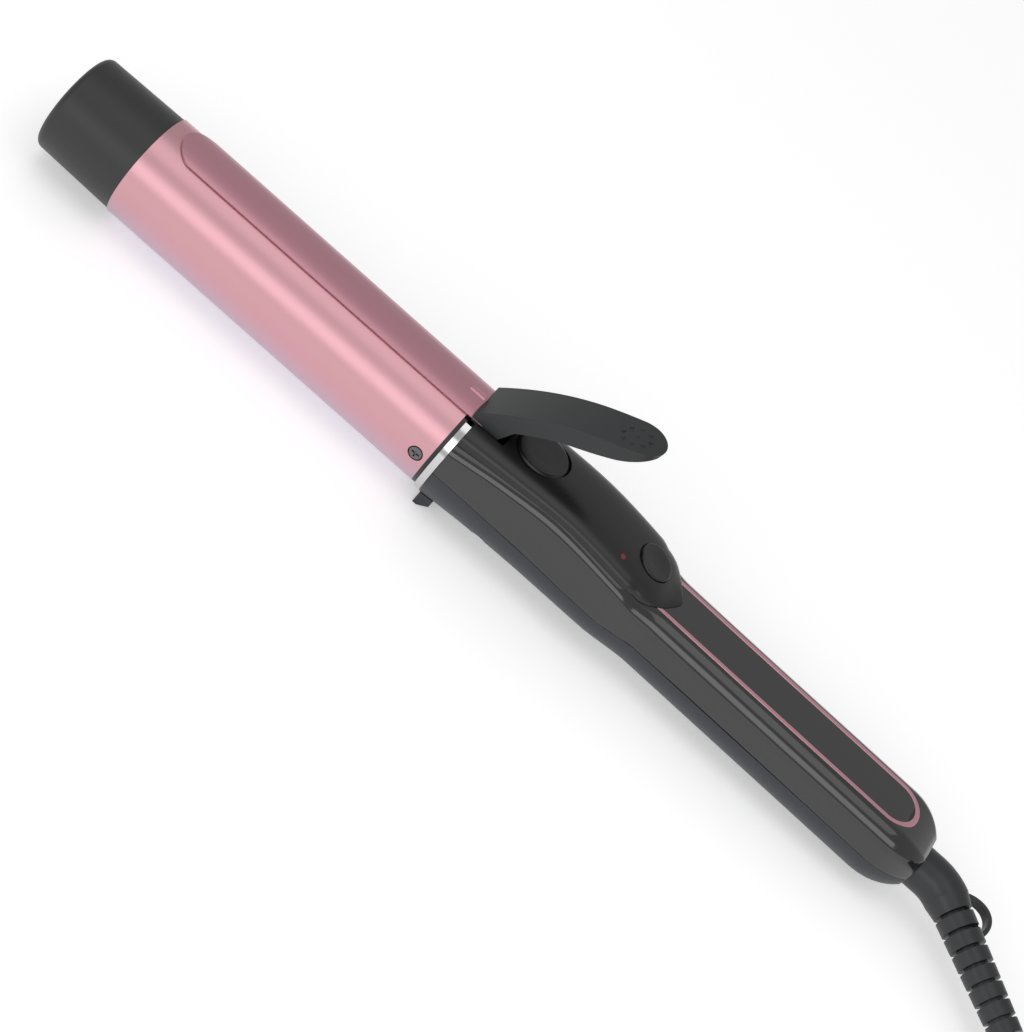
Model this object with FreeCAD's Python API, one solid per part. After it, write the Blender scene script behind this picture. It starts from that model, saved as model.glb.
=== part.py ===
"""A 38 mm curling iron with a spring clamp, a flip-down stand, a temperature dial,
a power button and a swivel cord.

The iron lies along X with the cool tip at -X and the cord at +X, the thumb lever is up,
and it is symmetric about y = 0 apart from its cord. It is drawn about the barrel's axis,
with x = 0 at the barrel's base. Every piece is then moved so that the origin is on the
table under the middle of the iron.
"""
import FreeCAD, Part
import math
import os

# ---------------------------------------------------------------- barrel and tip (mm)
barrel_diameter = 38.0
barrel_length = 129.2
barrel_wall = 1.2
tip_length = 31.4
tip_step = 0.4            # how far the tip's skin lies below the barrel's
tip_taper = 0.6           # radius lost from the joint to the free end
tip_edge = 2.4            # rounding of the free end
tip_wall = 2.0
tip_spigot = 9.0          # length of the tip's sleeve inside the barrel
# ---------------------------------------------------------------- neck between barrel and handle
spigot_length = 12.0
flange_width = 1.5
ring_width = 2.4
ring_height = 2.9
ring_overlap = 0.19       # how far the ring's ends reach into the lever's slot
neck_length = 15.5
neck_wall = 2.5
side_screw_from_base = 4.1
side_screw_head = 4.5
side_screw_hole = 5.4
side_screw_shank = 2.4
# ---------------------------------------------------------------- clamp
plate_thickness = 0.8
plate_gap = 0.3           # air between the plate and the barrel
plate_half_angle = 27.0
plate_nose = 124.0        # from the barrel's base to the plate's nose
plate_bead_width = 4.0
plate_bead_height = 0.5
lever_width = 18.0
lever_wall = 2.0
lever_tip_reach = 54.0
pivot_x = 8.0
pivot_below_skin = 5.0    # pivot below the top of the barrel
pivot_pin = 3.0
pivot_boss = 4.8
spring_wire = 0.9
spring_turns = 5
spring_pocket = 4.6       # half width of the pocket in the lever's root
dot_ring = 4.7
dot_size = 1.3
dot_count = 8
# ---------------------------------------------------------------- handle
handle_end = 201.4
handle_width = 30.0
handle_top = 10.4
handle_droop = 1.8        # how far the handle's back end sinks below its front
shell_wall = 2.0
housing_gap = 0.2         # between the neck ring and the housing
lip_length = 3.0          # front of the housing that grips the neck
end_dome = 15.3           # length of the rounded back end
inlay_half = 7.8
trim_width = 2.0
trim_proud = 0.25
inlay_depth = 1.2
inlay_from_end = 9.6      # from the handle's end to the nose of the inlay's trim
# ---------------------------------------------------------------- controls
dial_radius = 9.6
dial_height = 2.8
dial_top_above_barrel = 0.4
dial_gap = 0.3
dial_from_slot = 1.3      # wall between the lever's slot and the dial's well
dial_stem = 3.0
dial_ribs = 48
button_x = 75.4
button_radius = 6.6
button_tilt = 16.0
button_gap = 0.25
button_proud = 0.5
button_height = 3.2
button_travel = 0.6
light_x = 66.0
light_radius = 0.9
# ---------------------------------------------------------------- stand
stand_half = 9.5
stand_pivot_x = 18.6
stand_pivot_depth = 5.4    # the stand's pivot above the underside of the barrel
stand_pin = 2.0
stand_heel = 5.0
stand_knuckle = 2.8       # radius of the stand round its pin, above the pin
stand_swing = 6.6         # room behind the pin for the leg's skin as it swings down
stand_gap = 0.35
foot_half = 12.0
foot_front = 4.5
foot_clearance = 2.3      # air between the barrel and the table
# ---------------------------------------------------------------- swivel and cord
swivel_z = -5.2
swivel_bore = 7.7
swivel_neck = 7.5
journal_radius = 6.0
terminal_back = 20.0      # from the handle's end to the terminal block
terminal_length = 7.0
cord_diameter = 6.0
relief_elbow_reach = 10.7  # from the handle's end to the bend in the strain relief
relief_side = -0.671      # sideways run of the strain relief for each mm along X
relief_fall = -0.10       # drop of the strain relief for each mm along X
relief_socket = 14.0      # length of cord held inside the strain relief
relief_ribs = 7
rib_pitch = 6.05
rib_gap = 1.4
# ---------------------------------------------------------------- clearances
running_fit = 0.05        # round a pin or a journal
seat_gap = 0.1            # step from the barrel's skin down to the flange

barrel_radius = barrel_diameter / 2
foot_bottom = -barrel_radius - foot_clearance
stand_pivot_z = -barrel_radius + stand_pivot_depth
pivot_z = barrel_radius - pivot_below_skin
ring_start = flange_width
housing_start = ring_start + ring_width + housing_gap
neck_radius = barrel_radius - 2.0
handle_half = handle_width / 2
lever_half = lever_width / 2
slot_half = lever_half + 0.7
slot_end = 15.0
ring_mouth = math.degrees(math.asin((slot_half - ring_overlap) / neck_radius))
dial_x = slot_end + dial_from_slot + dial_radius + dial_gap
inlay_end = handle_end - inlay_from_end
relief_elbow_x = handle_end + relief_elbow_reach
plate_inner = barrel_radius + plate_gap
plate_outer = plate_inner + plate_thickness

front_x = -(barrel_length + tip_length)
table_z = foot_bottom
origin_x = (front_x + handle_end) / 2
PLACE = FreeCAD.Vector(-origin_x, 0, -table_z)

V = FreeCAD.Vector
AXIS_X = V(1, 0, 0)
AXIS_Y = V(0, 1, 0)
AXIS_Z = V(0, 0, 1)


# ---------------------------------------------------------------- small helpers
def rod_x(radius, start, end, y=0.0, z=0.0):
    """A round bar along X."""
    return Part.makeCylinder(radius, end - start, V(start, y, z), AXIS_X)


def rod_y(radius, start, end, x, z):
    """A round bar along Y."""
    return Part.makeCylinder(radius, end - start, V(x, start, z), AXIS_Y)


def rod_z(radius, start, end, x, y):
    """A round bar along Z."""
    return Part.makeCylinder(radius, end - start, V(x, y, start), AXIS_Z)


def block(x0, x1, y0, y1, z0, z1):
    """A rectangular block between two corners."""
    return Part.makeBox(x1 - x0, y1 - y0, z1 - z0, V(x0, y0, z0))


def pipe_x(outer, inner, start, end):
    """A tube along X about the barrel's axis."""
    return rod_x(outer, start, end).cut(rod_x(inner, start - 1, end + 1))


def join(shapes):
    """Fuse a list of shapes and clean the seams between them."""
    whole = shapes[0]
    for shape in shapes[1:]:
        whole = whole.fuse(shape)
    return whole.removeSplitter()


def smooth_curve(points):
    """One spline edge through the points."""
    curve = Part.BSplineCurve()
    curve.interpolate(points)
    return curve.toShape()


def easy(xs, ys, x):
    """Smooth value between stations, never over- or undershooting them."""
    last = len(xs) - 1
    x = min(max(x, xs[0]), xs[last])
    i = max(k for k in range(last) if xs[k] <= x or k == 0)
    steps = [xs[k + 1] - xs[k] for k in range(last)]
    slopes = [(ys[k + 1] - ys[k]) / steps[k] for k in range(last)]

    def tangent(k):
        if k == 0 or k == last:
            return slopes[0] if k == 0 else slopes[last - 1]
        if slopes[k - 1] * slopes[k] <= 0:
            return 0.0
        a = 2 * steps[k] + steps[k - 1]
        b = steps[k] + 2 * steps[k - 1]
        return (a + b) / (a / slopes[k - 1] + b / slopes[k])

    t = (x - xs[i]) / steps[i]
    ease_in = t * (1 - t) ** 2 * steps[i] * tangent(i)
    ease_out = t ** 2 * (t - 1) * steps[i] * tangent(i + 1)
    return (1 + 2 * t) * (1 - t) ** 2 * ys[i] + ease_in + t ** 2 * (3 - 2 * t) * ys[i + 1] + ease_out


# ---------------------------------------------------------------- the handle's sections
r = barrel_radius
h = handle_half
top = handle_top
dome_start = handle_end - end_dome
# x, half width, parting height, top of the flat flank, half width and height of the ledge
# that carries the control panel, lowest point, crown of the control panel
stations = [
    (housing_start, r + 0.7, -0.8, r - 12.4, r - 2.6, r - 7.5, -r - 1.0, r - 0.8),
    (24.0, r - 0.7, -2.1, r - 10.2, r - 3.1, r - 5.7, -r + 0.5, r + 0.2),
    (44.0, r - 1.4, -3.0, r - 9.4, r - 3.6, r - 4.7, -r + 1.0, r + 0.9),
    (72.0, r - 1.5, -4.0, r - 11.4, r - 3.9, r - 7.2, -r + 1.2, r - 2.0),
    (80.0, h + 1.3, -3.9, top - 5.4, h - 3.1, top + 0.2, -h - 2.7, top + 4.5),
    (88.0, h, -3.7, top - 6.8, inlay_half + trim_width, top, -h - 2.7, top + 1.0),
    (dome_start, h, -3.7 - handle_droop, top - 6.8 - handle_droop, inlay_half + trim_width,
     top - handle_droop, -h - 2.7 - handle_droop, top),
]
station_x = [row[0] for row in stations]
HALF, PARTING, FLANK, LEDGE, LEDGE_Z, BOTTOM, CROWN = range(1, 8)


def at(x, column):
    """The handle's size in one column of the station table at x."""
    return easy(station_x, [row[column] for row in stations], x)


def dome_scale(x):
    """How far the section has shrunk towards the swivel at the rounded back end."""
    u = max(0.0, (x - dome_start) / (end_dome * 1.25))
    return math.sqrt(1 - u * u)


def shrunk(point, x):
    """A section point pulled towards the swivel's axis by the dome."""
    s = dome_scale(x)
    return V(x, point[0] * s, swivel_z + (point[1] - swivel_z) * s)


def upper_section(x, inset):
    """Closed outline of the upper shell: flanks, rounded shoulders and a flat top."""
    half = at(x, HALF) - inset
    flank = at(x, FLANK)
    ledge = at(x, LEDGE) - inset * 0.8
    ledge_z = at(x, LEDGE_Z) - inset
    parting = at(x, PARTING) - (1.0 if inset else 0.0)
    across = half - ledge
    rise = ledge_z - flank
    radius = (across * across + rise * rise) / (2 * across)
    half_turn = math.asin(rise / radius) / 2
    mid = (half - radius + radius * math.cos(half_turn), flank + radius * math.sin(half_turn))
    left = [(-half, parting), (-half, flank), (-mid[0], mid[1]), (-ledge, ledge_z)]
    right = [(-y, z) for y, z in reversed(left)]
    a = [shrunk(p, x) for p in left]
    b = [shrunk(p, x) for p in right]
    return Part.Wire([
        Part.makeLine(a[0], a[1]), Part.Arc(a[1], a[2], a[3]).toShape(),
        Part.makeLine(a[3], b[0]), Part.Arc(b[0], b[1], b[2]).toShape(),
        Part.makeLine(b[2], b[3]), Part.makeLine(b[3], a[0])])


def lower_section(x, inset):
    """Closed outline of the lower shell: half an ellipse under the parting line."""
    half = at(x, HALF) - inset
    lift = 1.0 if inset else 0.0
    parting = at(x, PARTING)
    depth = parting - at(x, BOTTOM) - inset
    steps = 12
    arc = [shrunk((-half * math.cos(math.pi * i / steps), parting - depth * math.sin(math.pi * i / steps)), x)
           for i in range(steps + 1)]
    edges = [smooth_curve(arc)]
    if lift:
        up = [shrunk((half, parting + lift), x), shrunk((-half, parting + lift), x)]
        edges += [Part.makeLine(arc[-1], up[0]), Part.makeLine(up[0], up[1]), Part.makeLine(up[1], arc[0])]
    else:
        edges.append(Part.makeLine(arc[-1], arc[0]))
    return Part.Wire(edges)


def body_stations(start, end):
    """Places along the handle where a section is drawn, closer together where it changes."""
    marks = [12, 20, 30, 44, 58, 66, 72, 76, 80, 84, 88]
    marks += [dome_start + end_dome * k for k in (0, 0.2, 0.4, 0.55, 0.7, 0.8, 0.9)]
    return [start] + [x for x in marks if start + 2 < x < end - 1] + [end]


def handle_volume(section, start, end, inset):
    """The handle's upper or lower half as one solid, or its hollow when inset."""
    wires = [section(x, inset) for x in body_stations(start, end)]
    return Part.makeLoft(wires, True, True)


def panel_half(x):
    """Half width of the control panel in plan: the ledge, drawn in to a rounded tail."""
    tail_start = 76.0
    tail = 14.3
    if x <= tail_start:
        return at(x, LEDGE)
    u = (x - tail_start) / tail
    return at(tail_start, LEDGE) * max(0.0, 1 - u * u) ** 0.8


def panel_section(x, inset, sink):
    """Closed outline of the control panel: a flattened arch over a straight chord."""
    fullness = 2.6
    steps = 14
    half = panel_half(x) - inset
    base = at(x, LEDGE_Z)
    rise = at(x, CROWN) - inset - base
    arch = []
    for i in range(steps + 1):
        turn = math.pi * (i / steps - 0.5)
        y = half * math.copysign(abs(math.sin(turn)) ** (2 / fullness), turn)
        z = base + rise * abs(math.cos(turn)) ** (2 / fullness)
        arch.append(V(x, y, z))
    low = [V(x, half, base - sink), V(x, -half, base - sink)]
    edges = [smooth_curve(arch)]
    if sink:
        edges += [Part.makeLine(arch[-1], low[0]), Part.makeLine(low[0], low[1]), Part.makeLine(low[1], arch[0])]
    else:
        edges.append(Part.makeLine(arch[-1], arch[0]))
    return Part.Wire(edges)


def panel_volume(start, end, inset, sink):
    """The control panel as one solid, or its hollow when inset."""
    marks = [12, 24, 34, 44, 54, 64, 72, 77, 81, 84, 86.5, 88.5]
    xs = [start] + [x for x in marks if start + 2 < x < end - 1] + [end]
    return Part.makeLoft([panel_section(x, inset, sink) for x in xs], True, True)


parts = {}


# ---------------------------------------------------------------- barrel
def make_barrel():
    """Anodised tube with a clearance hole for each side screw."""
    tube = pipe_x(barrel_radius, barrel_radius - barrel_wall, -barrel_length, 0)
    hole = rod_y(side_screw_hole / 2, -barrel_radius - 2, barrel_radius + 2, -side_screw_from_base, 0)
    parts["barrel_tube"] = tube.cut(hole)


def make_tip():
    """Hollow heat-proof tip, pushed into the end of the barrel."""
    root = barrel_radius - tip_step
    nose = root - tip_taper
    inside = barrel_radius - barrel_wall
    outer = Part.makeCone(root, nose, tip_length, V(-barrel_length, 0, 0), V(-1, 0, 0))
    rim = [edge for edge in outer.Edges
           if edge.Vertexes and abs(edge.BoundBox.XMin - front_x) < 0.01 and edge.BoundBox.XLength < 0.01]
    outer = outer.makeFillet(tip_edge, rim)
    sleeve = rod_x(inside, -barrel_length, -barrel_length + tip_spigot)
    hollow = rod_x(inside - tip_wall, front_x + tip_wall + tip_edge, -barrel_length + tip_spigot + 1)
    parts["cool_tip"] = outer.fuse(sleeve).cut(hollow)


def make_neck():
    """Heat-proof socket: spigot in the barrel, flange, neck in the housing and two pivot ears."""
    inside = barrel_radius - barrel_wall
    bore = neck_radius - neck_wall
    solid = join([
        rod_x(inside, -spigot_length, 0),
        rod_x(barrel_radius - seat_gap, 0, flange_width),
        rod_x(neck_radius, flange_width, neck_length)])
    solid = solid.cut(rod_x(bore, -spigot_length - 1, neck_length + 1))
    room = pivot_z - pivot_boss - 0.3
    solid = solid.cut(block(flange_width, neck_length + 1, -slot_half, slot_half, room, barrel_radius + 5))
    solid = solid.cut(block(0.1, flange_width, -slot_half, slot_half, barrel_radius - 3.2, barrel_radius + 5))
    for side in (-1, 1):
        inner = side * slot_half
        outer = side * (slot_half + 2.2)
        ear = block(4.6, 11.4, min(inner, outer), max(inner, outer), room - 4, pivot_z + 2.3)
        solid = solid.fuse(ear)
        seat = rod_y(side_screw_shank / 2, min(0, side * inside), max(0, side * inside), -side_screw_from_base, 0)
        solid = solid.cut(seat)
    solid = solid.cut(rod_y(pivot_pin / 2, -barrel_radius, barrel_radius, pivot_x, pivot_z))
    solid = solid.cut(rod_x(bore, -spigot_length - 1, neck_length + 1).cut(
        block(4.0, 12.0, -barrel_radius, barrel_radius, room - 4, barrel_radius)))
    parts["barrel_socket"] = solid


def make_ring():
    """Polished ring round the neck, open at the top where the lever comes through."""
    ring = pipe_x(neck_radius + ring_height, neck_radius, ring_start, ring_start + ring_width)
    reach = 3 * barrel_radius
    spread = math.radians(ring_mouth)
    wedge = Part.Face(Part.makePolygon([
        V(0, 0, 0), V(0, -reach * math.sin(spread), reach * math.cos(spread)),
        V(0, reach * math.sin(spread), reach * math.cos(spread)), V(0, 0, 0)]))
    parts["neck_ring"] = ring.cut(wedge.extrude(V(ring_start + ring_width + 5, 0, 0)))


def make_side_screws():
    """Two cross-head screws, one each side, that hold the barrel on its socket."""
    seat = barrel_radius - barrel_wall
    screws = []
    for side in (-1, 1):
        head = rod_y(side_screw_head / 2, 0, barrel_wall - 0.15, -side_screw_from_base, 0)
        shank = rod_y(side_screw_shank / 2, -2.4, 0, -side_screw_from_base, 0)
        screw = head.fuse(shank)
        for long_x in (True, False):
            a = 1.5 if long_x else 0.3
            b = 0.3 if long_x else 1.5
            cross = block(-side_screw_from_base - a, -side_screw_from_base + a, 0.35, 3, -b, b)
            screw = screw.cut(cross)
        if side < 0:
            screw.rotate(V(-side_screw_from_base, 0, 0), AXIS_X, 180)
        screw.translate(V(0, side * seat, 0))
        screws.append(screw)
    parts["barrel_screws"] = Part.makeCompound(screws)


# ---------------------------------------------------------------- heater
heater_start = -112.0
heater_end = -30.0
heater_half = 8.0
heater_thick = 3.0
lead_y = 7.2


def make_heater():
    """Ceramic heating plate between two curved aluminium spreaders pressed on the tube."""
    inside = barrel_radius - barrel_wall
    parts["heater_plate"] = block(heater_start + 4, heater_end, -heater_half, heater_half,
                                  -heater_thick / 2, heater_thick / 2)
    for name, side in (("heat_spreader_top", 1), ("heat_spreader_bottom", -1)):
        arc = pipe_x(inside, inside - 1.6, heater_start, heater_end)
        near = heater_thick / 2
        z0 = min(side * near, side * (inside - 0.8))
        z1 = max(side * near, side * (inside - 0.8))
        web = block(heater_start, heater_end, -1.5, 1.5, z0, z1)
        pad = block(heater_start, heater_end, -heater_half, heater_half,
                    min(side * near, side * (near + 1.6)), max(side * near, side * (near + 1.6)))
        keep = block(heater_start - 1, heater_end + 1, -inside, inside,
                     min(side * 4.0, side * 30), max(side * 4.0, side * 30))
        parts[name] = join([arc.common(keep), web, pad])
    wires = []
    for y in (-lead_y, lead_y):
        wires.append(rod_x(0.8, heater_end, board_start + 4.0, y, 0.4))
    parts["heater_leads"] = Part.makeCompound(wires)
    fuse = rod_x(1.9, -26, -15, -lead_y, 0.4).cut(rod_x(0.8, -27, -14, -lead_y, 0.4))
    parts["thermal_fuse"] = fuse
    bead = rod_x(1.2, heater_end - 6, heater_end, 5.0, -heater_thick / 2 - 1.6 - 1.2)
    tail = rod_x(0.6, heater_end, 26.0, 5.0, -heater_thick / 2 - 1.6 - 1.2)
    parts["temperature_sensor"] = bead.fuse(tail)


# ---------------------------------------------------------------- clamp
def curved_strip(inner, outer, start, end, half_angle):
    """Part of a tube along X, centred on the top."""
    reach = 3 * outer
    spread = math.radians(half_angle)
    wedge = Part.Face(Part.makePolygon([
        V(start, 0, 0), V(start, -reach * math.sin(spread), reach * math.cos(spread)),
        V(start, reach * math.sin(spread), reach * math.cos(spread)), V(start, 0, 0)]))
    return pipe_x(outer, inner, start, end).common(wedge.extrude(V(end - start, 0, 0)))


def make_clamp_plate():
    """Sprung sheet that lies on the barrel, with a round nose and a stiffening bead."""
    plate = curved_strip(plate_inner, plate_outer, -plate_nose, 6.0, plate_half_angle)
    half = plate_outer * math.sin(math.radians(plate_half_angle))
    nose = rod_z(half, 0, 2 * barrel_radius, -plate_nose + half, 0)
    body = block(-plate_nose + half, 7.0, -half - 1, half + 1, 0, 2 * barrel_radius)
    bead = rod_x(plate_bead_width / 2, -4.8, 1.0, 0, plate_outer - plate_bead_width / 2 + plate_bead_height)
    bead = bead.cut(rod_x(plate_inner + 0.2, -6, 2))
    parts["clamp_plate"] = plate.common(nose.fuse(body)).fuse(bead)


def lever_top_points():
    """Side view of the lever's upper edge, from its root to its tip."""
    return [V(1.5, 0, r + 0.9), V(9.9, 0, r + 8.9), V(18.6, 0, r + 15.8), V(30.4, 0, r + 23.1),
            V(40.6, 0, r + 27.9), V(48.2, 0, r + 30.8), V(lever_tip_reach, 0, r + 31.9)]


def lever_low_points():
    """Side view of the lever's lower edge, from its tip back to its root."""
    return [V(lever_tip_reach - 0.6, 0, r + 30.2), V(46.5, 0, r + 25.2), V(36.4, 0, r + 19.0),
            V(27.1, 0, r + 13.9), V(20.4, 0, r + 9.3), V(15.3, 0, r + 5.2)]


def lever_outline(drop):
    """The lever's side view; with a drop it is the space between its side walls."""
    upper = [p - V(0, 0, drop) for p in lever_top_points()]
    lower = [p - V(0, 0, 2 * drop) for p in lever_low_points()]
    start = upper[0]
    heel = V(12.3, 0, r - 1.3 - 2 * drop)
    toe = V(2.0, 0, r - 2.2 - 2 * drop)
    edges = [smooth_curve(upper), Part.makeLine(upper[-1], lower[0]), smooth_curve(lower),
             Part.makeLine(lower[-1], heel), Part.makeLine(heel, toe), Part.makeLine(toe, start)]
    return Part.Face(Part.Wire(edges))


def lever_plan(half, length):
    """Plan of the lever: straight sides and a rounded tip."""
    tip = 11.0
    reach = half / lever_half * tip
    ellipse = Part.Ellipse(V(length - tip, 0, 0), reach, half)
    nose = Part.Face(Part.Wire(ellipse.toShape())).extrude(V(0, 0, 4 * barrel_radius))
    body = block(-1.0, length - tip, -half, half, 0, 4 * barrel_radius)
    return nose.fuse(body)


def make_lever():
    """Thumb lever: a channel with a solid pivot root, raised grip dots and a spring pocket."""
    outer = lever_outline(0).extrude(V(0, 2 * lever_half, 0))
    outer.translate(V(0, -lever_half, 0))
    outer = outer.common(lever_plan(lever_half, lever_tip_reach))
    inner_half = lever_half - lever_wall
    hollow = lever_outline(lever_wall).extrude(V(0, 2 * inner_half, 0))
    hollow.translate(V(0, -inner_half, 0))
    hollow = hollow.common(lever_plan(inner_half, lever_tip_reach - lever_wall))
    hollow = hollow.cut(block(-5, 13.0, -20, 20, -20, 60))
    lever = outer.cut(hollow)
    boss = rod_y(pivot_boss, -lever_half, lever_half, pivot_x, pivot_z)
    web = block(3.6, 11.6, -lever_half, lever_half, pivot_z, r - 1.0)
    lever = join([lever, boss, web])
    pocket = rod_y(pivot_boss + 0.4, -spring_pocket, spring_pocket, pivot_x, pivot_z)
    lever = lever.cut(pocket)
    lever = lever.cut(rod_y(pivot_pin / 2 + running_fit, -20, 20, pivot_x, pivot_z))
    centre = V(44.3, 0, r + 29.4)
    slope = math.atan2(lever_top_points()[5].z - lever_top_points()[4].z,
                       lever_top_points()[5].x - lever_top_points()[4].x)
    for k in range(dot_count + 1):
        turn = 2 * math.pi * k / dot_count
        ring = dot_ring if k < dot_count else 0.0
        along = ring * math.cos(turn)
        place = centre + V(along * math.cos(slope), ring * math.sin(turn), along * math.sin(slope))
        lever = lever.fuse(Part.makeSphere(dot_size / 2, place - V(0, 0, 0.15)))
    parts["clamp_lever"] = lever.cut(parts["clamp_plate"])


def make_lever_rivets():
    """Two rivets through the plate's tongue and the lever's root."""
    rivets = [rod_z(1.1, r - 0.9, r + 1.9, 4.4, y) for y in (-6.2, 6.2)]
    parts["lever_rivets"] = Part.makeCompound(rivets)
    for name in ("clamp_lever", "clamp_plate"):
        for rivet in rivets:
            parts[name] = parts[name].cut(rivet)


def make_pivot():
    """Pivot pin in the socket's ears, with the clamp's torsion spring round it."""
    reach = slot_half + 2.0
    parts["clamp_pin"] = rod_y(pivot_pin / 2, -reach, reach, pivot_x, pivot_z)
    length = 2 * (spring_pocket - running_fit) - spring_wire
    pitch = length / spring_turns
    radius = pivot_pin / 2 + spring_wire / 2 + 0.35
    path = Part.Wire(Part.makeHelix(pitch, length, radius).Edges)
    profile = Part.Wire([Part.makeCircle(spring_wire / 2, V(radius, 0, 0), V(0, 1, 0))])
    spring = path.makePipeShell([profile], True, True)
    spring.rotate(V(0, 0, 0), AXIS_X, -90)
    spring.translate(V(pivot_x, -length / 2, pivot_z))
    parts["clamp_spring"] = spring


# ---------------------------------------------------------------- stand
def stand_zone(half, heel, front, neck_gap):
    """Space that the stand's leg fills: under the neck, rounded about its pin at the back."""
    low = -2 * barrel_radius
    zone = block(front, stand_pivot_x, -half, half, low, -barrel_radius * 0.6)
    zone = zone.fuse(rod_y(heel, -half, half, stand_pivot_x, stand_pivot_z))
    return zone.cut(rod_x(neck_radius + neck_gap, -10, neck_length + 0.3))


def make_stand(lower_solid):
    """Flip-down stand: a leg that closes flush under the neck, and a foot that stays proud."""
    leg = stand_zone(stand_half, stand_heel, foot_front, 0.3).common(lower_solid)
    above = block(-5, 60, -40, 40, stand_pivot_z, 60)
    leg = leg.cut(above.cut(rod_y(stand_knuckle, -40, 40, stand_pivot_x, stand_pivot_z)))
    foot_face = Part.Face(Part.makePolygon([
        V(foot_front, -foot_half, foot_bottom), V(foot_front + 1.6, -foot_half, foot_bottom),
        V(foot_front + 5.2, -foot_half, -barrel_radius + 0.2), V(foot_front + 5.2, -foot_half, -barrel_radius * 0.7),
        V(foot_front, -foot_half, -barrel_radius * 0.7), V(foot_front, -foot_half, foot_bottom)]))
    foot = foot_face.extrude(V(0, 2 * foot_half, 0))
    inside = lower_solid.common(block(0, 30, -stand_half, stand_half, -60, 0))
    grown = handle_volume(lower_section, housing_start - 1.0, 30.0, -stand_gap)
    foot = foot.cut(grown)
    core = leg.fuse(inside.common(foot_face.extrude(V(0, 2 * foot_half, 0))).cut(
        rod_x(neck_radius + 0.3, -10, 40)))
    bridge = block(foot_front, foot_front + 4.6, -stand_half, stand_half, foot_bottom + 0.6, -barrel_radius + 1.2)
    bridge = bridge.common(foot_face.extrude(V(0, 2 * foot_half, 0)))
    bridge = bridge.cut(rod_x(neck_radius + 0.3, -10, 40))
    leg = join([core, foot, bridge])
    hole = rod_y(stand_pin / 2 + running_fit, -20, 20, stand_pivot_x, stand_pivot_z)
    parts["stand"] = leg.cut(hole)
    reach = stand_half + 2.0
    parts["stand_pin"] = rod_y(stand_pin / 2, -reach, reach, stand_pivot_x, stand_pivot_z)


# ---------------------------------------------------------------- housing
rear_screw_from_end = 36.3
housing_screws = [(28.0, -12.5), (28.0, 12.5), (128.0, 0.0), (handle_end - rear_screw_from_end, 0.0)]
screw_radius = 1.5
screw_sink = 6.5          # from the lower shell's skin up to a screw's seat
screw_head = 2.5
post_radius = 3.9
board_low = -2.0
board_thick = 1.6
board_start = 20.0
board_end = 118.0
board_half = 8.2


def screw_seat(x, y):
    """Height of a screw's seat: a fixed way above the lower shell's skin at that place."""
    depth = at(x, PARTING) - at(x, BOTTOM)
    skin = at(x, PARTING) - depth * math.sqrt(1 - (y / at(x, HALF)) ** 2)
    return skin + screw_sink


def make_lower_housing():
    """Lower shell with screw posts, board rests, stand window and swivel seat."""
    solid = handle_volume(lower_section, housing_start, handle_end, 0)
    hollow = handle_volume(lower_section, housing_start + lip_length, handle_end - 3.2, shell_wall)
    shell = solid.cut(hollow)
    for x, y in housing_screws:
        top_z = at(x, PARTING)
        post = rod_z(post_radius, at(x, BOTTOM) - 1, top_z, x, y).common(solid)
        shell = shell.fuse(post)
    for x in (36.0, 108.0):
        rest = block(x - 1.5, x + 1.5, -7.0, 7.0, at(x, BOTTOM), board_low).common(
            handle_volume(lower_section, housing_start, handle_end, 0.5))
        shell = shell.fuse(rest)
    saddle_end = handle_end - terminal_back
    saddle = block(saddle_end - terminal_length, saddle_end, -7.0, 7.0, -60, swivel_z - 3.0)
    shell = shell.fuse(saddle.common(solid))
    for side in (-1, 1):
        inner = side * (stand_half + 0.4)
        outer = side * (stand_half + 3.6)
        ear = block(stand_pivot_x - 2.6, stand_pivot_x + 2.6, min(inner, outer), max(inner, outer),
                    -barrel_radius, stand_pivot_z + 2.6)
        shell = shell.fuse(ear.common(solid))
    shell = shell.cut(rod_x(neck_radius, 0, neck_length + 0.3))
    shell = shell.cut(stand_zone(stand_half + 0.4, stand_swing, 0, -0.2))
    shell = shell.cut(rod_y(stand_pin / 2, -stand_half - 2.0, stand_half + 2.0, stand_pivot_x, stand_pivot_z))
    for x, y in housing_screws:
        shell = shell.cut(rod_z(screw_radius + 0.1, -60, 20, x, y))
        shell = shell.cut(rod_z(screw_head + 0.2, -60, screw_seat(x, y), x, y))
    shell = shell.cut(swivel_room())
    parts["lower_housing"] = shell
    return solid


def make_upper_housing():
    """Upper shell: flanks, shoulders, ledge for the control panel, recess for the inlay."""
    solid = handle_volume(upper_section, housing_start, handle_end, 0)
    hollow = handle_volume(upper_section, housing_start + lip_length, handle_end - 3.2, shell_wall)
    shell = solid.cut(hollow)
    for x, y in housing_screws:
        low = at(x, PARTING)
        post = rod_z(post_radius, low, at(x, LEDGE_Z) - 0.5, x, y).common(solid)
        shell = shell.fuse(post)
    shell = shell.cut(rod_x(neck_radius, 0, neck_length + 0.3))
    shell = shell.cut(block(0, slot_end, -slot_half - 3.0, slot_half + 3.0, pivot_z - 5.0, 60))
    shell = shell.cut(block(slot_end - 0.5, 70.0, -11.0, 11.0, barrel_radius - 11, 60))
    shell = shell.cut(block(69.5, 82.0, -7.6, 7.6, 0, 60))
    for x, y in housing_screws:
        shell = shell.cut(rod_z(screw_radius, -60, at(x, PARTING) + 6.5, x, y))
    shell = shell.cut(swivel_room())
    parts["upper_housing"] = shell.cut(inlay_zone(inlay_half + trim_width, 20.0))


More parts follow.
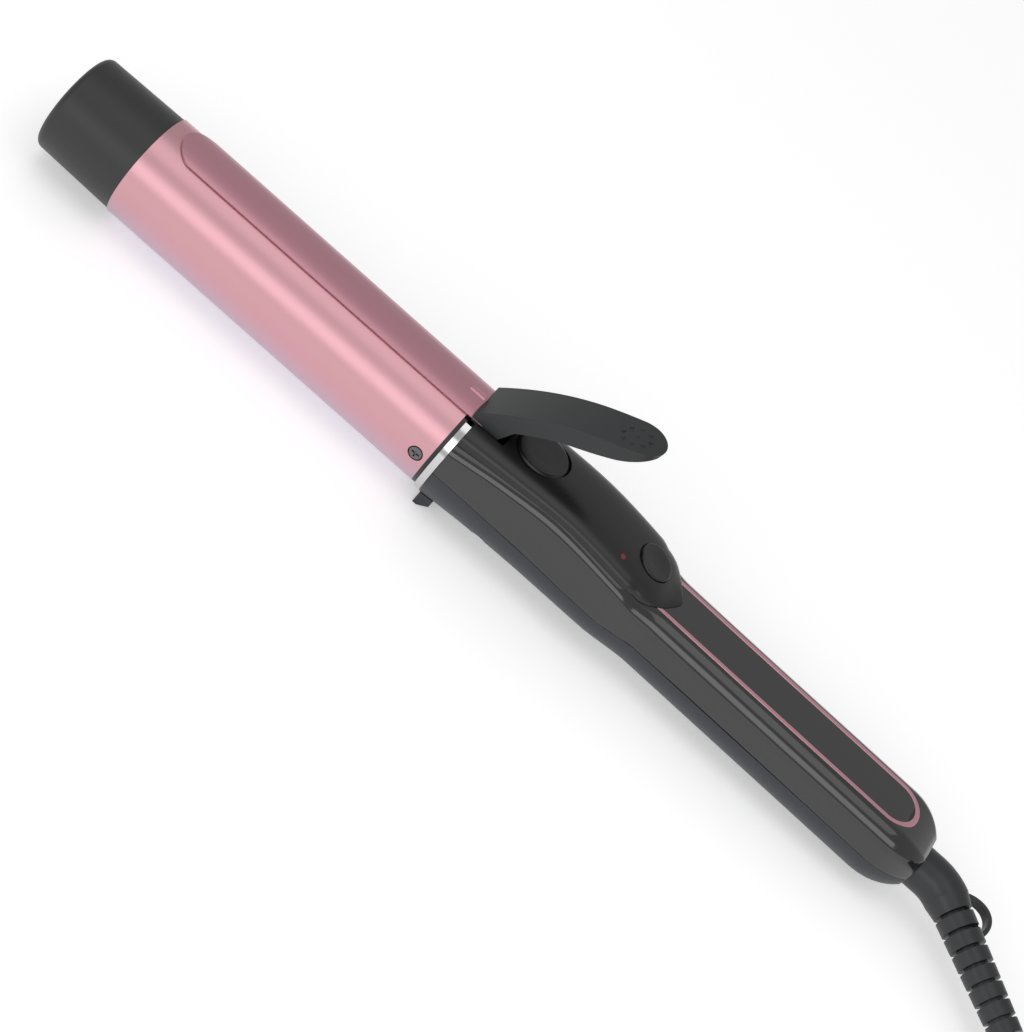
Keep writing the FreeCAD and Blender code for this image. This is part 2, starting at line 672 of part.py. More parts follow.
def swivel_room():
    """Space for the swivel: its bore through the wall and the groove for its flange."""
    bore = rod_x(swivel_bore, handle_end - 14.0, handle_end + 5, 0, swivel_z)
    return bore.fuse(rod_x(9.6, handle_end - 8.2, handle_end - 5.8, 0, swivel_z))


def inlay_zone(half, height):
    """The inlay's stadium in plan, from its depth under the handle's top up to a height."""
    slope = math.atan2(handle_droop, dome_start - 88.0)
    start = 78.0
    nose_x = inlay_end - inlay_half - trim_width
    body = block(start, nose_x, -half, half, 0, inlay_depth + height)
    nose = rod_z(half, 0, inlay_depth + height, nose_x, 0)
    zone = body.fuse(nose)
    zone.translate(V(0, 0, handle_top - inlay_depth))
    zone.rotate(V(88.0, 0, handle_top), AXIS_Y, math.degrees(slope))
    return zone


def make_inlay():
    """Matt inlay in the handle's top and the metal trim round it."""
    plate = inlay_zone(inlay_half, 0.0)
    trim = inlay_zone(inlay_half + trim_width, trim_proud).cut(inlay_zone(inlay_half, 20.0))
    clear = block(0, 82.0, -40, 40, -60, 60)
    hidden = panel_shadow(0.0)
    flush = inlay_zone(inlay_half + trim_width, 0.0)
    proud = trim.cut(flush).cut(hidden)
    parts["handle_inlay"] = plate.cut(clear)
    parts["inlay_trim"] = trim.common(flush).cut(clear).fuse(proud.cut(clear))


def panel_shadow(extra):
    """Upright solid with the plan of the control panel's tail."""
    xs = [70.0, 76.0, 80.0, 83.0, 86.0, 88.0, 89.6]
    side = [V(x, panel_half(x) + extra, 0) for x in xs] + [V(90.4 + extra, 0, 0)]
    back = [V(p.x, -p.y, 0) for p in reversed(side[:-1])]
    wire = Part.Wire([smooth_curve(side + back), Part.makeLine(back[-1], side[0])])
    return Part.Face(wire).extrude(V(0, 0, 60))


def make_control_panel():
    """Domed panel over the electronics, with the dial's well and the button's hole."""
    solid = panel_volume(housing_start, 90.0, 0, 0)
    hollow = panel_volume(housing_start + 2.0, 86.0, shell_wall, 1.0)
    shell = solid.cut(hollow)
    well_floor = barrel_radius + dial_top_above_barrel - dial_height - dial_gap
    cup = rod_z(dial_radius + dial_gap + 1.4, well_floor - 1.5, 60, dial_x, 0).common(solid)
    shell = shell.fuse(cup)
    shell = shell.cut(rod_z(dial_radius + dial_gap, well_floor, 60, dial_x, 0))
    shell = shell.cut(rod_z(dial_stem + running_fit, 0, 60, dial_x, 0))
    shell = shell.cut(block(0, slot_end, -slot_half, slot_half, -20, 60))
    shell = shell.cut(tilted(rod_z(button_radius + button_gap, -15, 30, 0, 0)))
    shell = shell.cut(rod_z(light_radius, -20, 60, light_x, light_y()))
    shell = shell.cut(block(0, 20, -slot_half - 3.0, slot_half + 3.0, -20, pivot_z + 2.6))
    parts["control_panel"] = shell.cut(inlay_zone(inlay_half + trim_width, 0.0))


def light_y():
    """Sideways place of the indicator light."""
    return -9.9


def button_seat_z():
    """Height of the panel's crown under the middle of the button."""
    return at(button_x, CROWN)


def tilted(shape):
    """Move a shape drawn about Z to the button's place and slope."""
    shape.rotate(V(0, 0, 0), AXIS_Y, button_tilt)
    shape.translate(V(button_x, 0, button_seat_z()))
    return shape


# ---------------------------------------------------------------- controls
def make_dial():
    """Ribbed temperature dial with its stem in the control's bore."""
    top_z = barrel_radius + dial_top_above_barrel
    disc = rod_z(dial_radius - 0.35, top_z - dial_height, top_z, dial_x, 0)
    rib = rod_z(0.42, top_z - dial_height, top_z - 0.5, dial_x + dial_radius - 0.42, 0)
    shapes = [disc]
    for k in range(dial_ribs):
        one = rib.copy()
        one.rotate(V(dial_x, 0, 0), AXIS_Z, 360.0 * k / dial_ribs)
        shapes.append(one)
    disc = disc.fuse(shapes[1:])
    stem = rod_z(dial_stem, 6.0, top_z - dial_height + 0.5, dial_x, 0)
    parts["temperature_dial"] = disc.fuse(stem)


def make_controls():
    """Circuit board with the dial's control, the power switch and the indicator light."""
    board_top = board_low + board_thick
    parts["circuit_board"] = block(board_start, board_end, -board_half, board_half, board_low, board_top)
    control = rod_z(6.4, board_top, 11.0, dial_x, 0)
    parts["temperature_control"] = control.cut(rod_z(dial_stem + running_fit, 5.5, 20, dial_x, 0))
    switch = block(button_x - 4, button_x + 4, -4, 4, board_top, 5.0)
    parts["power_switch"] = switch
    chips = [block(44, 54, -5, 5, board_top, board_top + 2.2),
             rod_z(3.6, board_top, board_top + 7.0, 90, 0),
             block(98, 108, -6, 2, board_top, board_top + 4.0)]
    parts["board_components"] = Part.makeCompound(chips)
    lamp = rod_z(light_radius, board_top + 10.2, at(light_x, CROWN) - 0.5, light_x, light_y())
    solid = panel_volume(housing_start, 90.0, 0, 0)
    parts["indicator_light"] = lamp.common(solid.fuse(block(60, 70, -12, -7, 0, barrel_radius - 6.5)))


def make_button():
    """Round power button that slides along its own sloping axis."""
    cap = rod_z(button_radius, button_proud - button_height, button_proud, 0, 0)
    stem = rod_z(1.6, -10.0, button_proud - button_height + 0.5, 0, 0)
    button = tilted(cap.fuse(stem))
    ceiling = 5.0 + button_travel + 0.35
    parts["power_button"] = button.cut(block(0, 150, -30, 30, -30, ceiling))


# ---------------------------------------------------------------- fasteners
def make_housing_screws():
    """Self-tapping screws from below that close the two shells."""
    screws = []
    for x, y in housing_screws:
        seat = screw_seat(x, y)
        screw = rod_z(screw_radius, seat, at(x, PARTING) + 6.0, x, y)
        screw = screw.fuse(rod_z(screw_head, seat - 2.0, seat, x, y))
        screw = screw.cut(block(x - 1.6, x + 1.6, y - 0.35, y + 0.35, seat - 3, seat - 0.9))
        screw = screw.cut(block(x - 0.35, x + 0.35, y - 1.6, y + 1.6, seat - 3, seat - 0.9))
        screws.append(screw)
    parts["housing_screws"] = Part.makeCompound(screws)


# ---------------------------------------------------------------- swivel
def make_swivel():
    """Hub that turns in the handle's end, its slip rings, and the contacts that feed them."""
    hub = join([
        rod_x(journal_radius, handle_end - 18.0, handle_end - 7.9, 0, swivel_z),
        rod_x(9.3, handle_end - 7.9, handle_end - 6.1, 0, swivel_z),
        rod_x(swivel_bore - running_fit, handle_end - 6.1, handle_end, 0, swivel_z)])
    rings = []
    for start in (handle_end - 16.5, handle_end - 12.8):
        ring = rod_x(journal_radius + 0.8, start, start + 1.8, 0, swivel_z)
        ring = ring.cut(rod_x(journal_radius, start - 1, start + 3, 0, swivel_z))
        rings.append(ring)
    parts["swivel_hub"] = hub
    parts["slip_rings"] = Part.makeCompound(rings)
    block_end = handle_end - terminal_back
    top_z = swivel_z + journal_radius + 1.15
    carrier = block(block_end - terminal_length, block_end, -7.0, 7.0, swivel_z - 3.0, top_z + 1.4)
    parts["terminal_block"] = carrier
    blades = []
    for y, reach in ((-2.2, handle_end - 14.9), (2.2, handle_end - 11.2)):
        blades.append(block(block_end, reach, y - 1.2, y + 1.2, top_z, top_z + 0.5))
    parts["contact_blades"] = Part.makeCompound(blades)
    wires = []
    for y in (-5.2, 5.2):
        wires.append(rod_x(0.9, board_end - 8.0, block_end - terminal_length, y, board_low + board_thick + 0.9))
    parts["supply_wires"] = Part.makeCompound(wires)


relief_start = V(handle_end, 0, swivel_z)
relief_elbow = V(relief_elbow_x, 0, swivel_z)
relief_direction = V(1, relief_side, relief_fall).normalize()
rib_length = relief_ribs * rib_pitch
smooth_length = 10.0
relief_end = relief_elbow + relief_direction * (smooth_length + rib_length)


def make_strain_relief():
    """Rubber sleeve: a bent neck, seven tapering ribs and a loop to hang the iron by."""
    turn = math.acos(relief_direction.dot(AXIS_X))
    bend_radius = 16.0
    cut_back = bend_radius * math.tan(turn / 2)
    first = relief_elbow - AXIS_X * cut_back
    last = relief_elbow + relief_direction * cut_back
    inward = (relief_direction - AXIS_X * relief_direction.dot(AXIS_X)).normalize()
    centre = first + inward * bend_radius
    middle = centre + ((relief_elbow - centre).normalize() * bend_radius)
    neck_path = Part.Wire([Part.makeLine(relief_start, first), Part.Arc(first, middle, last).toShape()])
    profile = Part.Wire([Part.makeCircle(swivel_neck, relief_start, AXIS_X)])
    pieces = [neck_path.makePipeShell([profile], True, False)]
    start_r = swivel_neck
    rib_r = 6.5
    end_r = 5.3
    run = smooth_length - cut_back
    pieces.append(Part.makeCone(start_r, rib_r, run, last, relief_direction))
    core_r = end_r - 1.3
    base = relief_elbow + relief_direction * smooth_length
    pieces.append(Part.makeCylinder(core_r, rib_length - rib_gap, base, relief_direction))
    for k in range(relief_ribs):
        a = rib_r + (end_r - rib_r) * k / relief_ribs
        b = rib_r + (end_r - rib_r) * (k + 0.8) / relief_ribs
        start = base + relief_direction * (k * rib_pitch + rib_gap)
        pieces.append(Part.makeCone(a, b, rib_pitch - rib_gap, start, relief_direction))
    body = join(pieces)
    body = body.fuse(hanging_loop(base))
    socket_end = relief_end - relief_direction * relief_socket
    hole = Part.makeCylinder(cord_diameter / 2, relief_socket, socket_end, relief_direction)
    parts["strain_relief"] = body.cut(hole)


loop_reach = 15.3
loop_half = 9.5
loop_wall = 1.7
loop_thick = 3.0
loop_near = 6.9


def hanging_loop(base):
    """Flat D-shaped loop on the far side of the sleeve, with its hole upright."""
    along = V(relief_direction.x, relief_direction.y, 0).normalize()
    centre = base + relief_direction * 1.5

    def arch(grow):
        outline = Part.Ellipse(V(0, 0, 0), loop_reach - grow, loop_half - grow)
        return Part.Face(Part.Wire(outline.toShape()))

    outer = arch(0).extrude(V(0, 0, loop_thick))
    inner = arch(loop_wall).extrude(V(0, 0, loop_thick + 2))
    inner.translate(V(0, 0, -1))
    near = block(-20, loop_near, -20, 20, -5, 10)
    loop = outer.cut(inner.cut(near)).cut(block(-20, 0, -20, 20, -5, 10))
    loop.translate(V(0, 0, -loop_thick / 2))
    loop.rotate(V(0, 0, 0), AXIS_Z, math.degrees(math.atan2(along.y, along.x)) + 90)
    loop.translate(centre)
    return loop


# ---------------------------------------------------------------- cord
cord_radius = cord_diameter / 2
on_table = table_z + cord_radius
coil_mid = 31.5           # mean radius of the turns
coil_columns = 3.5        # turns side by side, in the widest place
coil_layers = 3
coil_x = 330.0
coil_y = -20.0
tie_width = 6.0
tie_wall = 0.8
tie_angle = 165.0
cord_route = [
    V(269.5, -38.3, -11.2), V(284.0, -45.9, -15.3), V(298.5, -51.9, on_table),
    V(309.0, -55.0, on_table), V(318.5, -57.0, on_table)]
tail_turn = 25.0          # angle between the corners of the tail's route
tail_heights = [13.6, 17.8, 21.6, 24.2]
plug_grip = 12.0
plug_length = 37.0
plug_width = 32.0
plug_height = 13.7
pin_diameter = 4.0
pin_root = 3.2            # diameter of the part moulded into the plug
pin_hold = 8.0            # length moulded into the plug
pin_length = 19.0
pin_spacing = 18.6


coil_inner = coil_mid - coil_columns * cord_radius
coil_outer = coil_mid + coil_columns * cord_radius
coil_high = coil_layers * cord_diameter
plug_z = table_z + coil_high + plug_height / 2


def make_tail_route():
    """Corners of the tail: it climbs from the innermost turn to the plug on top of the coil."""
    turn_radius = coil_inner + cord_radius
    corner_radius = turn_radius / math.cos(math.radians(tail_turn / 2))
    route = []
    for k, height in enumerate(tail_heights):
        turn = math.radians(-90 - tail_turn * (len(tail_heights) - k - 0.5))
        route.append(V(coil_x + corner_radius * math.cos(turn), coil_y + corner_radius * math.sin(turn),
                       table_z + height))
    route.append(V(coil_x + 2.0, coil_y - turn_radius, plug_z))
    return route


tail_route = make_tail_route()


def rounded_route(points, name):
    """Straight runs joined by arcs as large as the runs allow."""
    edges = []
    here = points[0]
    radii = []
    for before, corner, after in zip(points, points[1:], points[2:]):
        run_in = corner - before
        run_out = after - corner
        turn = run_in.getAngle(run_out)
        cut_back = 0.45 * min(run_in.Length, run_out.Length)
        radii.append(cut_back / math.tan(turn / 2))
        start = corner - run_in.normalize() * cut_back
        end = corner + run_out.normalize() * cut_back
        chord_mid = (start + end) * 0.5
        to_corner = (corner - chord_mid).normalize()
        sagitta = radii[-1] * (1 - math.cos(turn / 2))
        edges.append(Part.makeLine(here, start))
        edges.append(Part.Arc(start, chord_mid + to_corner * sagitta, end).toShape())
        here = end
    edges.append(Part.makeLine(here, points[-1]))
    print(name, "radii", [round(x, 1) for x in radii])
    return Part.Wire(edges)


def cord_tube(points, name):
    """Round cord along a route."""
    path = rounded_route(points, name)
    direction = points[1] - points[0]
    profile = Part.Wire([Part.makeCircle(cord_radius, points[0], direction)])
    tube = path.makePipeShell([profile], True, False)
    expected = math.pi * cord_radius ** 2 * path.Length
    print(name, "length", round(path.Length, 1), "volume ratio", round(tube.Volume / expected, 4))
    return tube


def make_cord():
    """Cord to the coil, the coil itself, its tie, and the tail to the plug."""
    start = relief_end - relief_direction * relief_socket
    parts["mains_cord"] = cord_tube([start, relief_end] + cord_route, "mains_cord")
    parts["cord_tail"] = cord_tube(tail_route, "cord_tail")
    coil = rod_z(coil_outer, table_z, table_z + coil_high, coil_x, coil_y)
    coil = coil.cut(rod_z(coil_inner, table_z - 1, table_z + coil_high + 1, coil_x, coil_y))
    coil = coil.makeFillet(cord_radius - 0.2, coil.Edges)
    band = block(0, coil_outer + 5, -tie_width / 2, tie_width / 2, table_z, table_z + coil_high)
    band.rotate(V(0, 0, 0), AXIS_Z, tie_angle)
    band.translate(V(coil_x, coil_y, 0))
    top_z = table_z + coil_high
    skin = rod_z(coil_outer - tie_wall, table_z + tie_wall, top_z - tie_wall, coil_x, coil_y)
    skin = skin.cut(rod_z(coil_inner + tie_wall, table_z - 1, top_z + 1, coil_x, coil_y))
    skin = skin.makeFillet(cord_radius - 0.2 - tie_wall, skin.Edges)
    tie = band.common(coil).cut(skin)
    parts["cord_tie"] = tie
    parts["cord_coil"] = coil.cut(tie)
    for name in ("mains_cord", "cord_tail"):
        parts[name] = parts[name].cut(coil)


def make_plug():
    """Flat two-pin plug at the end of the cord, with its pins in an insulated root."""
    end = tail_route[-1]
    heading = (end - tail_route[-2])
    heading = V(heading.x, heading.y, 0).normalize()
    turn = math.degrees(math.atan2(heading.y, heading.x))
    half = plug_width / 2
    outline = [V(0, -5.0, 0), V(plug_grip, -5.4, 0), V(plug_grip + 9, -half + 2.5, 0),
               V(plug_length - 5, -half, 0), V(plug_length, -half + 1.5, 0)]
    outline += [V(p.x, -p.y, 0) for p in reversed(outline)]
    plan = Part.Face(Part.makePolygon(outline + [outline[0]]))
    body = plan.extrude(V(0, 0, plug_height))
    body.translate(V(0, 0, -plug_height / 2))
    side = Part.Face(Part.makePolygon([
        V(0, -60, -4.6), V(plug_grip, -60, -5.0), V(plug_grip + 9, -60, -plug_height / 2),
        V(plug_length, -60, -plug_height / 2 + 1.0), V(plug_length, -60, plug_height / 2 - 1.0),
        V(plug_grip + 9, -60, plug_height / 2), V(plug_grip, -60, 5.0), V(0, -60, 4.6), V(0, -60, -4.6)]))
    body = body.common(side.extrude(V(0, 120, 0)))
    pins = []
    for y in (-pin_spacing / 2, pin_spacing / 2):
        root = rod_x(pin_root / 2, plug_length - pin_hold, plug_length, y, 0)
        shank = rod_x(pin_diameter / 2, plug_length, plug_length + pin_length - 1.6, y, 0)
        point = Part.makeCone(pin_diameter / 2, pin_diameter / 2 - 1.0, 1.6,
                              V(plug_length + pin_length - 1.6, y, 0), AXIS_X)
        pins.append(join([root, shank, point]))
    for pin in pins:
        body = body.cut(pin)
    for name, shape in (("plug_body", body), ("plug_pins", Part.makeCompound(pins))):
        shape.rotate(V(0, 0, 0), AXIS_Z, turn)
        shape.translate(V(end.x, end.y, plug_z))
        parts[name] = shape


for step in (make_barrel, make_tip, make_neck, make_ring, make_side_screws, make_heater,
             make_clamp_plate, make_lever, make_lever_rivets, make_pivot):
    step()
lower_solid = make_lower_housing()
make_stand(lower_solid)
make_upper_housing()
make_control_panel()
make_inlay()
make_dial()
make_controls()
make_button()
make_housing_screws()
make_swivel()
make_strain_relief()
make_cord()
make_plug()

os.makedirs("parts", exist_ok=True)
for name, shape in parts.items():
    shape = shape.copy()
    shape.translate(PLACE)
    shape.exportStep("parts/" + name + ".step")
    sizes = [round(solid.Volume, 1) for solid in shape.Solids]
    print("%-22s valid %s solids %s" % (name, shape.isValid(), sizes))
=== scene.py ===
# %% [markdown]
# A curling iron: a rose barrel with a black tip, a spring clamp worked by a thumb lever,
# a black handle with a dial and a button, and a cord on a swivel.
#
# The CAD model fixes every size and every axis of motion. This lesson adds the looks:
# smooth moulded skins, rounded edges, fine surface texture, and a cord that lies as a
# real one does. Each step first says what the real piece is, and then how it is made.

# %% Load the frame
import math

import bmesh
import bpy
import numpy as np
from mathutils import Matrix, Vector


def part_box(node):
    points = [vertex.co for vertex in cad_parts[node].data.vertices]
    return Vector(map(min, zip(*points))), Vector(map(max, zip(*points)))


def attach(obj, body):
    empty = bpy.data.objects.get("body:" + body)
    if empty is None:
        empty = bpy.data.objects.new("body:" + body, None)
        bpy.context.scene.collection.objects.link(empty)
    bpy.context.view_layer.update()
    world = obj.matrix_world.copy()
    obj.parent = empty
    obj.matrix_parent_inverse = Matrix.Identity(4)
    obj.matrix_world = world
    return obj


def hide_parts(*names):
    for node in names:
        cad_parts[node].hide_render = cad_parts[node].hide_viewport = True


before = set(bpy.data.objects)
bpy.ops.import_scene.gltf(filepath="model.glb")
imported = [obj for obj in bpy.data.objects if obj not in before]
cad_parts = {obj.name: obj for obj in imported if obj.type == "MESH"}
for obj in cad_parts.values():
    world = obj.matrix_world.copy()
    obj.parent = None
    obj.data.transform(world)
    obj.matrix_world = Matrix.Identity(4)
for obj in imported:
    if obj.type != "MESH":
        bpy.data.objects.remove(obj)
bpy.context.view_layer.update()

# %% [markdown]
# A maker measures this iron from the barrel: x = 0 at the barrel's base, the tip at -x,
# the cord at +x, and z = 0 on the barrel's axis. So the lesson works in millimetres from
# that point, and one function carries finished points into the frame, which is in metres.

# %% Units and the datum
MM = 0.001
tube_low, tube_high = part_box("barrel_tube")
DATUM = np.array([tube_high.x, 0.0, (tube_low.z + tube_high.z) / 2])
BARREL_R = (tube_high.z - tube_low.z) / 2 / MM
TABLE = -DATUM[2] / MM
print("barrel radius %.2f, table at %.2f" % (BARREL_R, TABLE))


def in_frame(points):
    """Points in millimetres from the barrel's base, as metres in the frame."""
    return np.asarray(points, float) * MM + DATUM


def node_span(name, axis):
    """Lowest and highest millimetre of a CAD node along one axis, from the barrel's base."""
    low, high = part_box(name)
    return (low[axis] - DATUM[axis]) / MM, (high[axis] - DATUM[axis]) / MM


# %% [markdown]
# The pieces are surfaces on a grid of points. A grid has rows and columns, and either of
# them may close into a ring. Quads join the neighbours, and a row that shrinks to one
# point is welded into a pole. Two grids that belong together, the outside and the inside
# of a moulded wall, are joined along their borders into one closed skin.

# %% Grids into meshes
def grid_faces(rows, columns, ring_rows=False, ring_columns=False, first=0):
    """Quads of a grid: corner (i, j) is number first + i * columns + j."""
    i = np.arange(rows if ring_rows else rows - 1)
    j = np.arange(columns if ring_columns else columns - 1)
    i, j = np.meshgrid(i, j, indexing="ij")
    i, j = i.ravel(), j.ravel()
    next_i, next_j = (i + 1) % rows, (j + 1) % columns
    return first + np.stack([i * columns + j, i * columns + next_j,
                             next_i * columns + next_j, next_i * columns + j], axis=1)


def mesh_piece(name, points, faces, sharp=40.0, weld=0.002):
    """A mesh piece from points in millimetres, with doubles merged and normals facing out."""
    mesh = bpy.data.meshes.new(name)
    mesh.from_pydata(in_frame(points).tolist(), [], [list(map(int, f)) for f in faces])
    piece = bpy.data.objects.new(name, mesh)
    bpy.context.scene.collection.objects.link(piece)
    work = bmesh.new()
    work.from_mesh(mesh)
    bmesh.ops.remove_doubles(work, verts=work.verts, dist=weld * MM)
    bmesh.ops.dissolve_degenerate(work, edges=work.edges, dist=weld * MM)
    bmesh.ops.recalc_face_normals(work, faces=work.faces)
    work.to_mesh(mesh)
    work.free()
    finish_shading(piece, sharp)
    return piece


def finish_shading(piece, sharp):
    """Smooth shading, with a crease wherever two faces meet at more than sharp degrees."""
    piece.data.shade_smooth()
    piece.data.set_sharp_from_angle(angle=math.radians(sharp))


def tube_piece(name, rows, sharp=40.0):
    """A closed surface from rings of points: (rings, points, 3); end rings are filled by a fan."""
    rings, count = rows.shape[:2]
    points = np.vstack([rows.reshape(-1, 3), rows[0].mean(0), rows[-1].mean(0)])
    faces = grid_faces(rings, count, ring_columns=True)
    j = np.arange(count)
    after = (j + 1) % count
    start, end = rings * count, rings * count + 1
    last = (rings - 1) * count
    caps = [(start, b, a) for a, b in zip(j, after)]
    caps += [(end, last + a, last + b) for a, b in zip(j, after)]
    return mesh_piece(name, points, list(faces) + caps, sharp)


def shell_piece(name, outer, inner, sharp=40.0):
    """A moulded wall: two grids of the same shape, joined along their four borders."""
    rows, columns = outer.shape[:2]
    count = rows * columns
    points = np.vstack([outer.reshape(-1, 3), inner.reshape(-1, 3)])
    faces = list(grid_faces(rows, columns))
    faces += list(grid_faces(rows, columns, first=count)[:, ::-1])
    top, bottom = np.arange(columns), (rows - 1) * columns + np.arange(columns)
    left, right = np.arange(rows) * columns, np.arange(rows) * columns + columns - 1
    for border, flip in ((top, True), (bottom, False), (left, False), (right, True)):
        a, b = border[:-1], border[1:]
        strip = np.stack([a, b, b + count, a + count], axis=1)
        faces += list(strip[:, ::-1] if flip else strip)
    return mesh_piece(name, points, faces, sharp)


# %% [markdown]
# Turned pieces are a profile spun round the Z axis. A corner of a moulded or machined piece
# is never quite sharp, and the small round is what catches the light, so `rounded` swaps
# each corner of a profile for an arc of a given radius.

# %% Profiles and turned pieces
def rounded(corners, radii, steps=6):
    """A profile whose corner i is replaced by an arc that touches both of its sides.

    The arc of radius r starts r * tan(turn / 2) before the corner and ends as far after it.
    """
    corners = np.asarray(corners, float)
    out = [corners[0]]
    for before, corner, after, radius in zip(corners, corners[1:], corners[2:], radii):
        way_in = (corner - before) / np.linalg.norm(corner - before)
        way_out = (after - corner) / np.linalg.norm(after - corner)
        turn = math.acos(np.clip(way_in @ way_out, -1, 1))
        if radius <= 0 or turn < 1e-3:
            out.append(corner)
            continue
        reach = radius * math.tan(turn / 2)
        t = np.linspace(0, 1, steps + 1)[:, None]
        inward = way_out - way_in * (way_in @ way_out)
        inward = inward / np.linalg.norm(inward)
        centre = corner - way_in * reach + inward * radius
        angle = t * turn
        out.extend(centre - inward * radius * np.cos(angle) + way_in * radius * np.sin(angle))
    out.append(corners[-1])
    return np.array(out)


def turned(profile, count, centre=(0.0, 0.0, 0.0)):
    """Rings of a profile of (height, radius) spun round the Z axis through centre."""
    height, radius = profile[:, 0][:, None], profile[:, 1][:, None]
    angle = np.linspace(0, 2 * np.pi, count, endpoint=False)[None, :]
    x, y = radius * np.cos(angle), radius * np.sin(angle)
    return np.stack([x, y, height + 0 * angle], axis=2) + np.asarray(centre, float)


# %% [markdown]
# Shader maths reads best as plain expressions. `Value` wraps a number socket, and its
# operators add the Math nodes. Any other node comes from one method, `node`, which takes
# the node's type, its settings and its inputs. Colours go through Mix nodes, because a
# Math node would turn them grey.

# %% Finishes
class Value:
    """A number socket of a finish: value + x, x - value and value * x add Math nodes."""

    def __init__(self, finish, socket):
        self.finish = finish
        self.socket = socket

    def maths(self, operation, *values):
        inputs = dict(enumerate(values))
        return self.finish.node("ShaderNodeMath", {"operation": operation}, inputs)

    def __add__(self, other):
        return self.maths("ADD", self, other)

    def __rsub__(self, other):
        return self.maths("SUBTRACT", other, self)

    def __mul__(self, other):
        return self.maths("MULTIPLY", self, other)


class Finish:
    """A material: a Principled shader with fixed values, and nodes for what varies over it."""

    def __init__(self, name, colour, roughness, metallic=0.0, **fixed):
        self.material = bpy.data.materials.new(name)
        self.material.use_nodes = True
        self.tree = self.material.node_tree
        self.tree.nodes.clear()
        self.shader = self.tree.nodes.new("ShaderNodeBsdfPrincipled")
        output = self.tree.nodes.new("ShaderNodeOutputMaterial")
        self.tree.links.new(self.shader.outputs[0], output.inputs["Surface"])
        self.set("Base Color", (*colour, 1.0))
        self.set("Roughness", roughness)
        self.set("Metallic", metallic)
        for key, value in fixed.items():
            self.set(key.replace("_", " "), value)
        self.material.diffuse_color = (*colour, 1.0)
        self.place = self.node("ShaderNodeTexCoord", output="Object")

    def set(self, name, value):
        """Give one of the shader's sockets a number or colour, or link it."""
        if isinstance(value, Value):
            self.tree.links.new(value.socket, self.shader.inputs[name])
        else:
            self.shader.inputs[name].default_value = value

    def node(self, kind, settings=None, inputs=None, output=0):
        """Add a node: its settings first, then the values or links of its sockets."""
        made = self.tree.nodes.new(kind)
        for key, value in (settings or {}).items():
            setattr(made, key, value)
        for key, value in (inputs or {}).items():
            if isinstance(value, Value):
                self.tree.links.new(value.socket, made.inputs[key])
            else:
                made.inputs[key].default_value = value
        return Value(self, made.outputs[output])

    def axis(self, name):
        """One coordinate of the piece, in metres."""
        return self.node("ShaderNodeSeparateXYZ", None, {"Vector": self.place}, output=name)

    def stretched(self, x, y, z):
        """The piece's coordinates multiplied by a number for each axis."""
        return self.node("ShaderNodeMapping", None, {"Vector": self.place, "Scale": (x, y, z)})

    def noise(self, size_mm, detail=2.0, vector=None):
        """Smooth random value about 0.5 whose lumps are about size_mm across."""
        inputs = {"Vector": vector or self.place, "Scale": 1000.0 / size_mm, "Detail": detail}
        return self.node("ShaderNodeTexNoise", None, inputs)

    def mix(self, factor, a, b):
        """Colour a where factor is 0, colour b where it is 1."""
        return self.node("ShaderNodeMix", {"data_type": "RGBA"},
                         {0: factor, 6: (*a, 1.0), 7: (*b, 1.0)}, output=2)

    def uneven_gloss(self, roughness, pattern, spread):
        """Let the roughness follow a pattern about its middle value, by spread in all."""
        self.set("Roughness", pattern * spread + (roughness - spread / 2))

    def bump(self, height, depth_mm):
        """Tilt the surface as if height, from 0 to 1, were depth_mm deep."""
        normal = self.node("ShaderNodeBump", None,
                           {"Height": height, "Distance": depth_mm * MM, "Strength": 1.0})
        self.set("Normal", normal)


def paint(piece, finish):
    """Give a piece or a CAD node one finish in all of its material slots."""
    if not piece.data.materials:
        piece.data.materials.append(finish.material)
    for i in range(len(piece.material_slots)):
        piece.material_slots[i].material = finish.material


def fit(piece, body, finish, slot, *nodes):
    """Finish a piece: its material, body and the nodes it stands for; the slot is not used."""
    paint(piece, finish)
    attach(piece, body)
    if nodes:
        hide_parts(*nodes)
    faces = len(piece.data.polygons) if piece.type == "MESH" else 0
    print("%-18s %6d faces" % (piece.name, faces))


# %% [markdown]
# Each finish follows the real material, except for the barrel's lilac low down, which is a
# painted reflection of the floor. Anodised aluminium is metal with a fine satin grain that
# runs round the barrel. The handle is ABS: polished where it is piano black and
# fine-textured elsewhere. The sleeve and cord are soft PVC.

# %% The finishes
def satin(name, colour, roughness, grain_mm=0.3, depth_mm=0.008, **fixed):
    """Moulded plastic with a fine texture and slightly uneven gloss."""
    finish = Finish(name, colour, roughness, **fixed)
    finish.uneven_gloss(roughness, finish.noise(14.0), 0.08)
    finish.bump(finish.noise(grain_mm, 4.0), depth_mm)
    return finish


def metal(name, colour, roughness, across=(1.0, 1.0, 1.0), depth_mm=0.003, **fixed):
    """Metal with fine marks, longest where across is smallest."""
    finish = Finish(name, colour, roughness, 1.0, **fixed)
    marks = finish.noise(0.5, 3.0, finish.stretched(*across))
    finish.uneven_gloss(roughness, marks, 0.1)
    finish.bump(marks, depth_mm)
    return finish


ROSE, REFLECTED_LILAC = (0.62, 0.33, 0.37), (0.50, 0.41, 0.52)
PAINTED_REFLECTION_BELOW, PAINTED_REFLECTION_SLOPE = 0.0205, 62.0


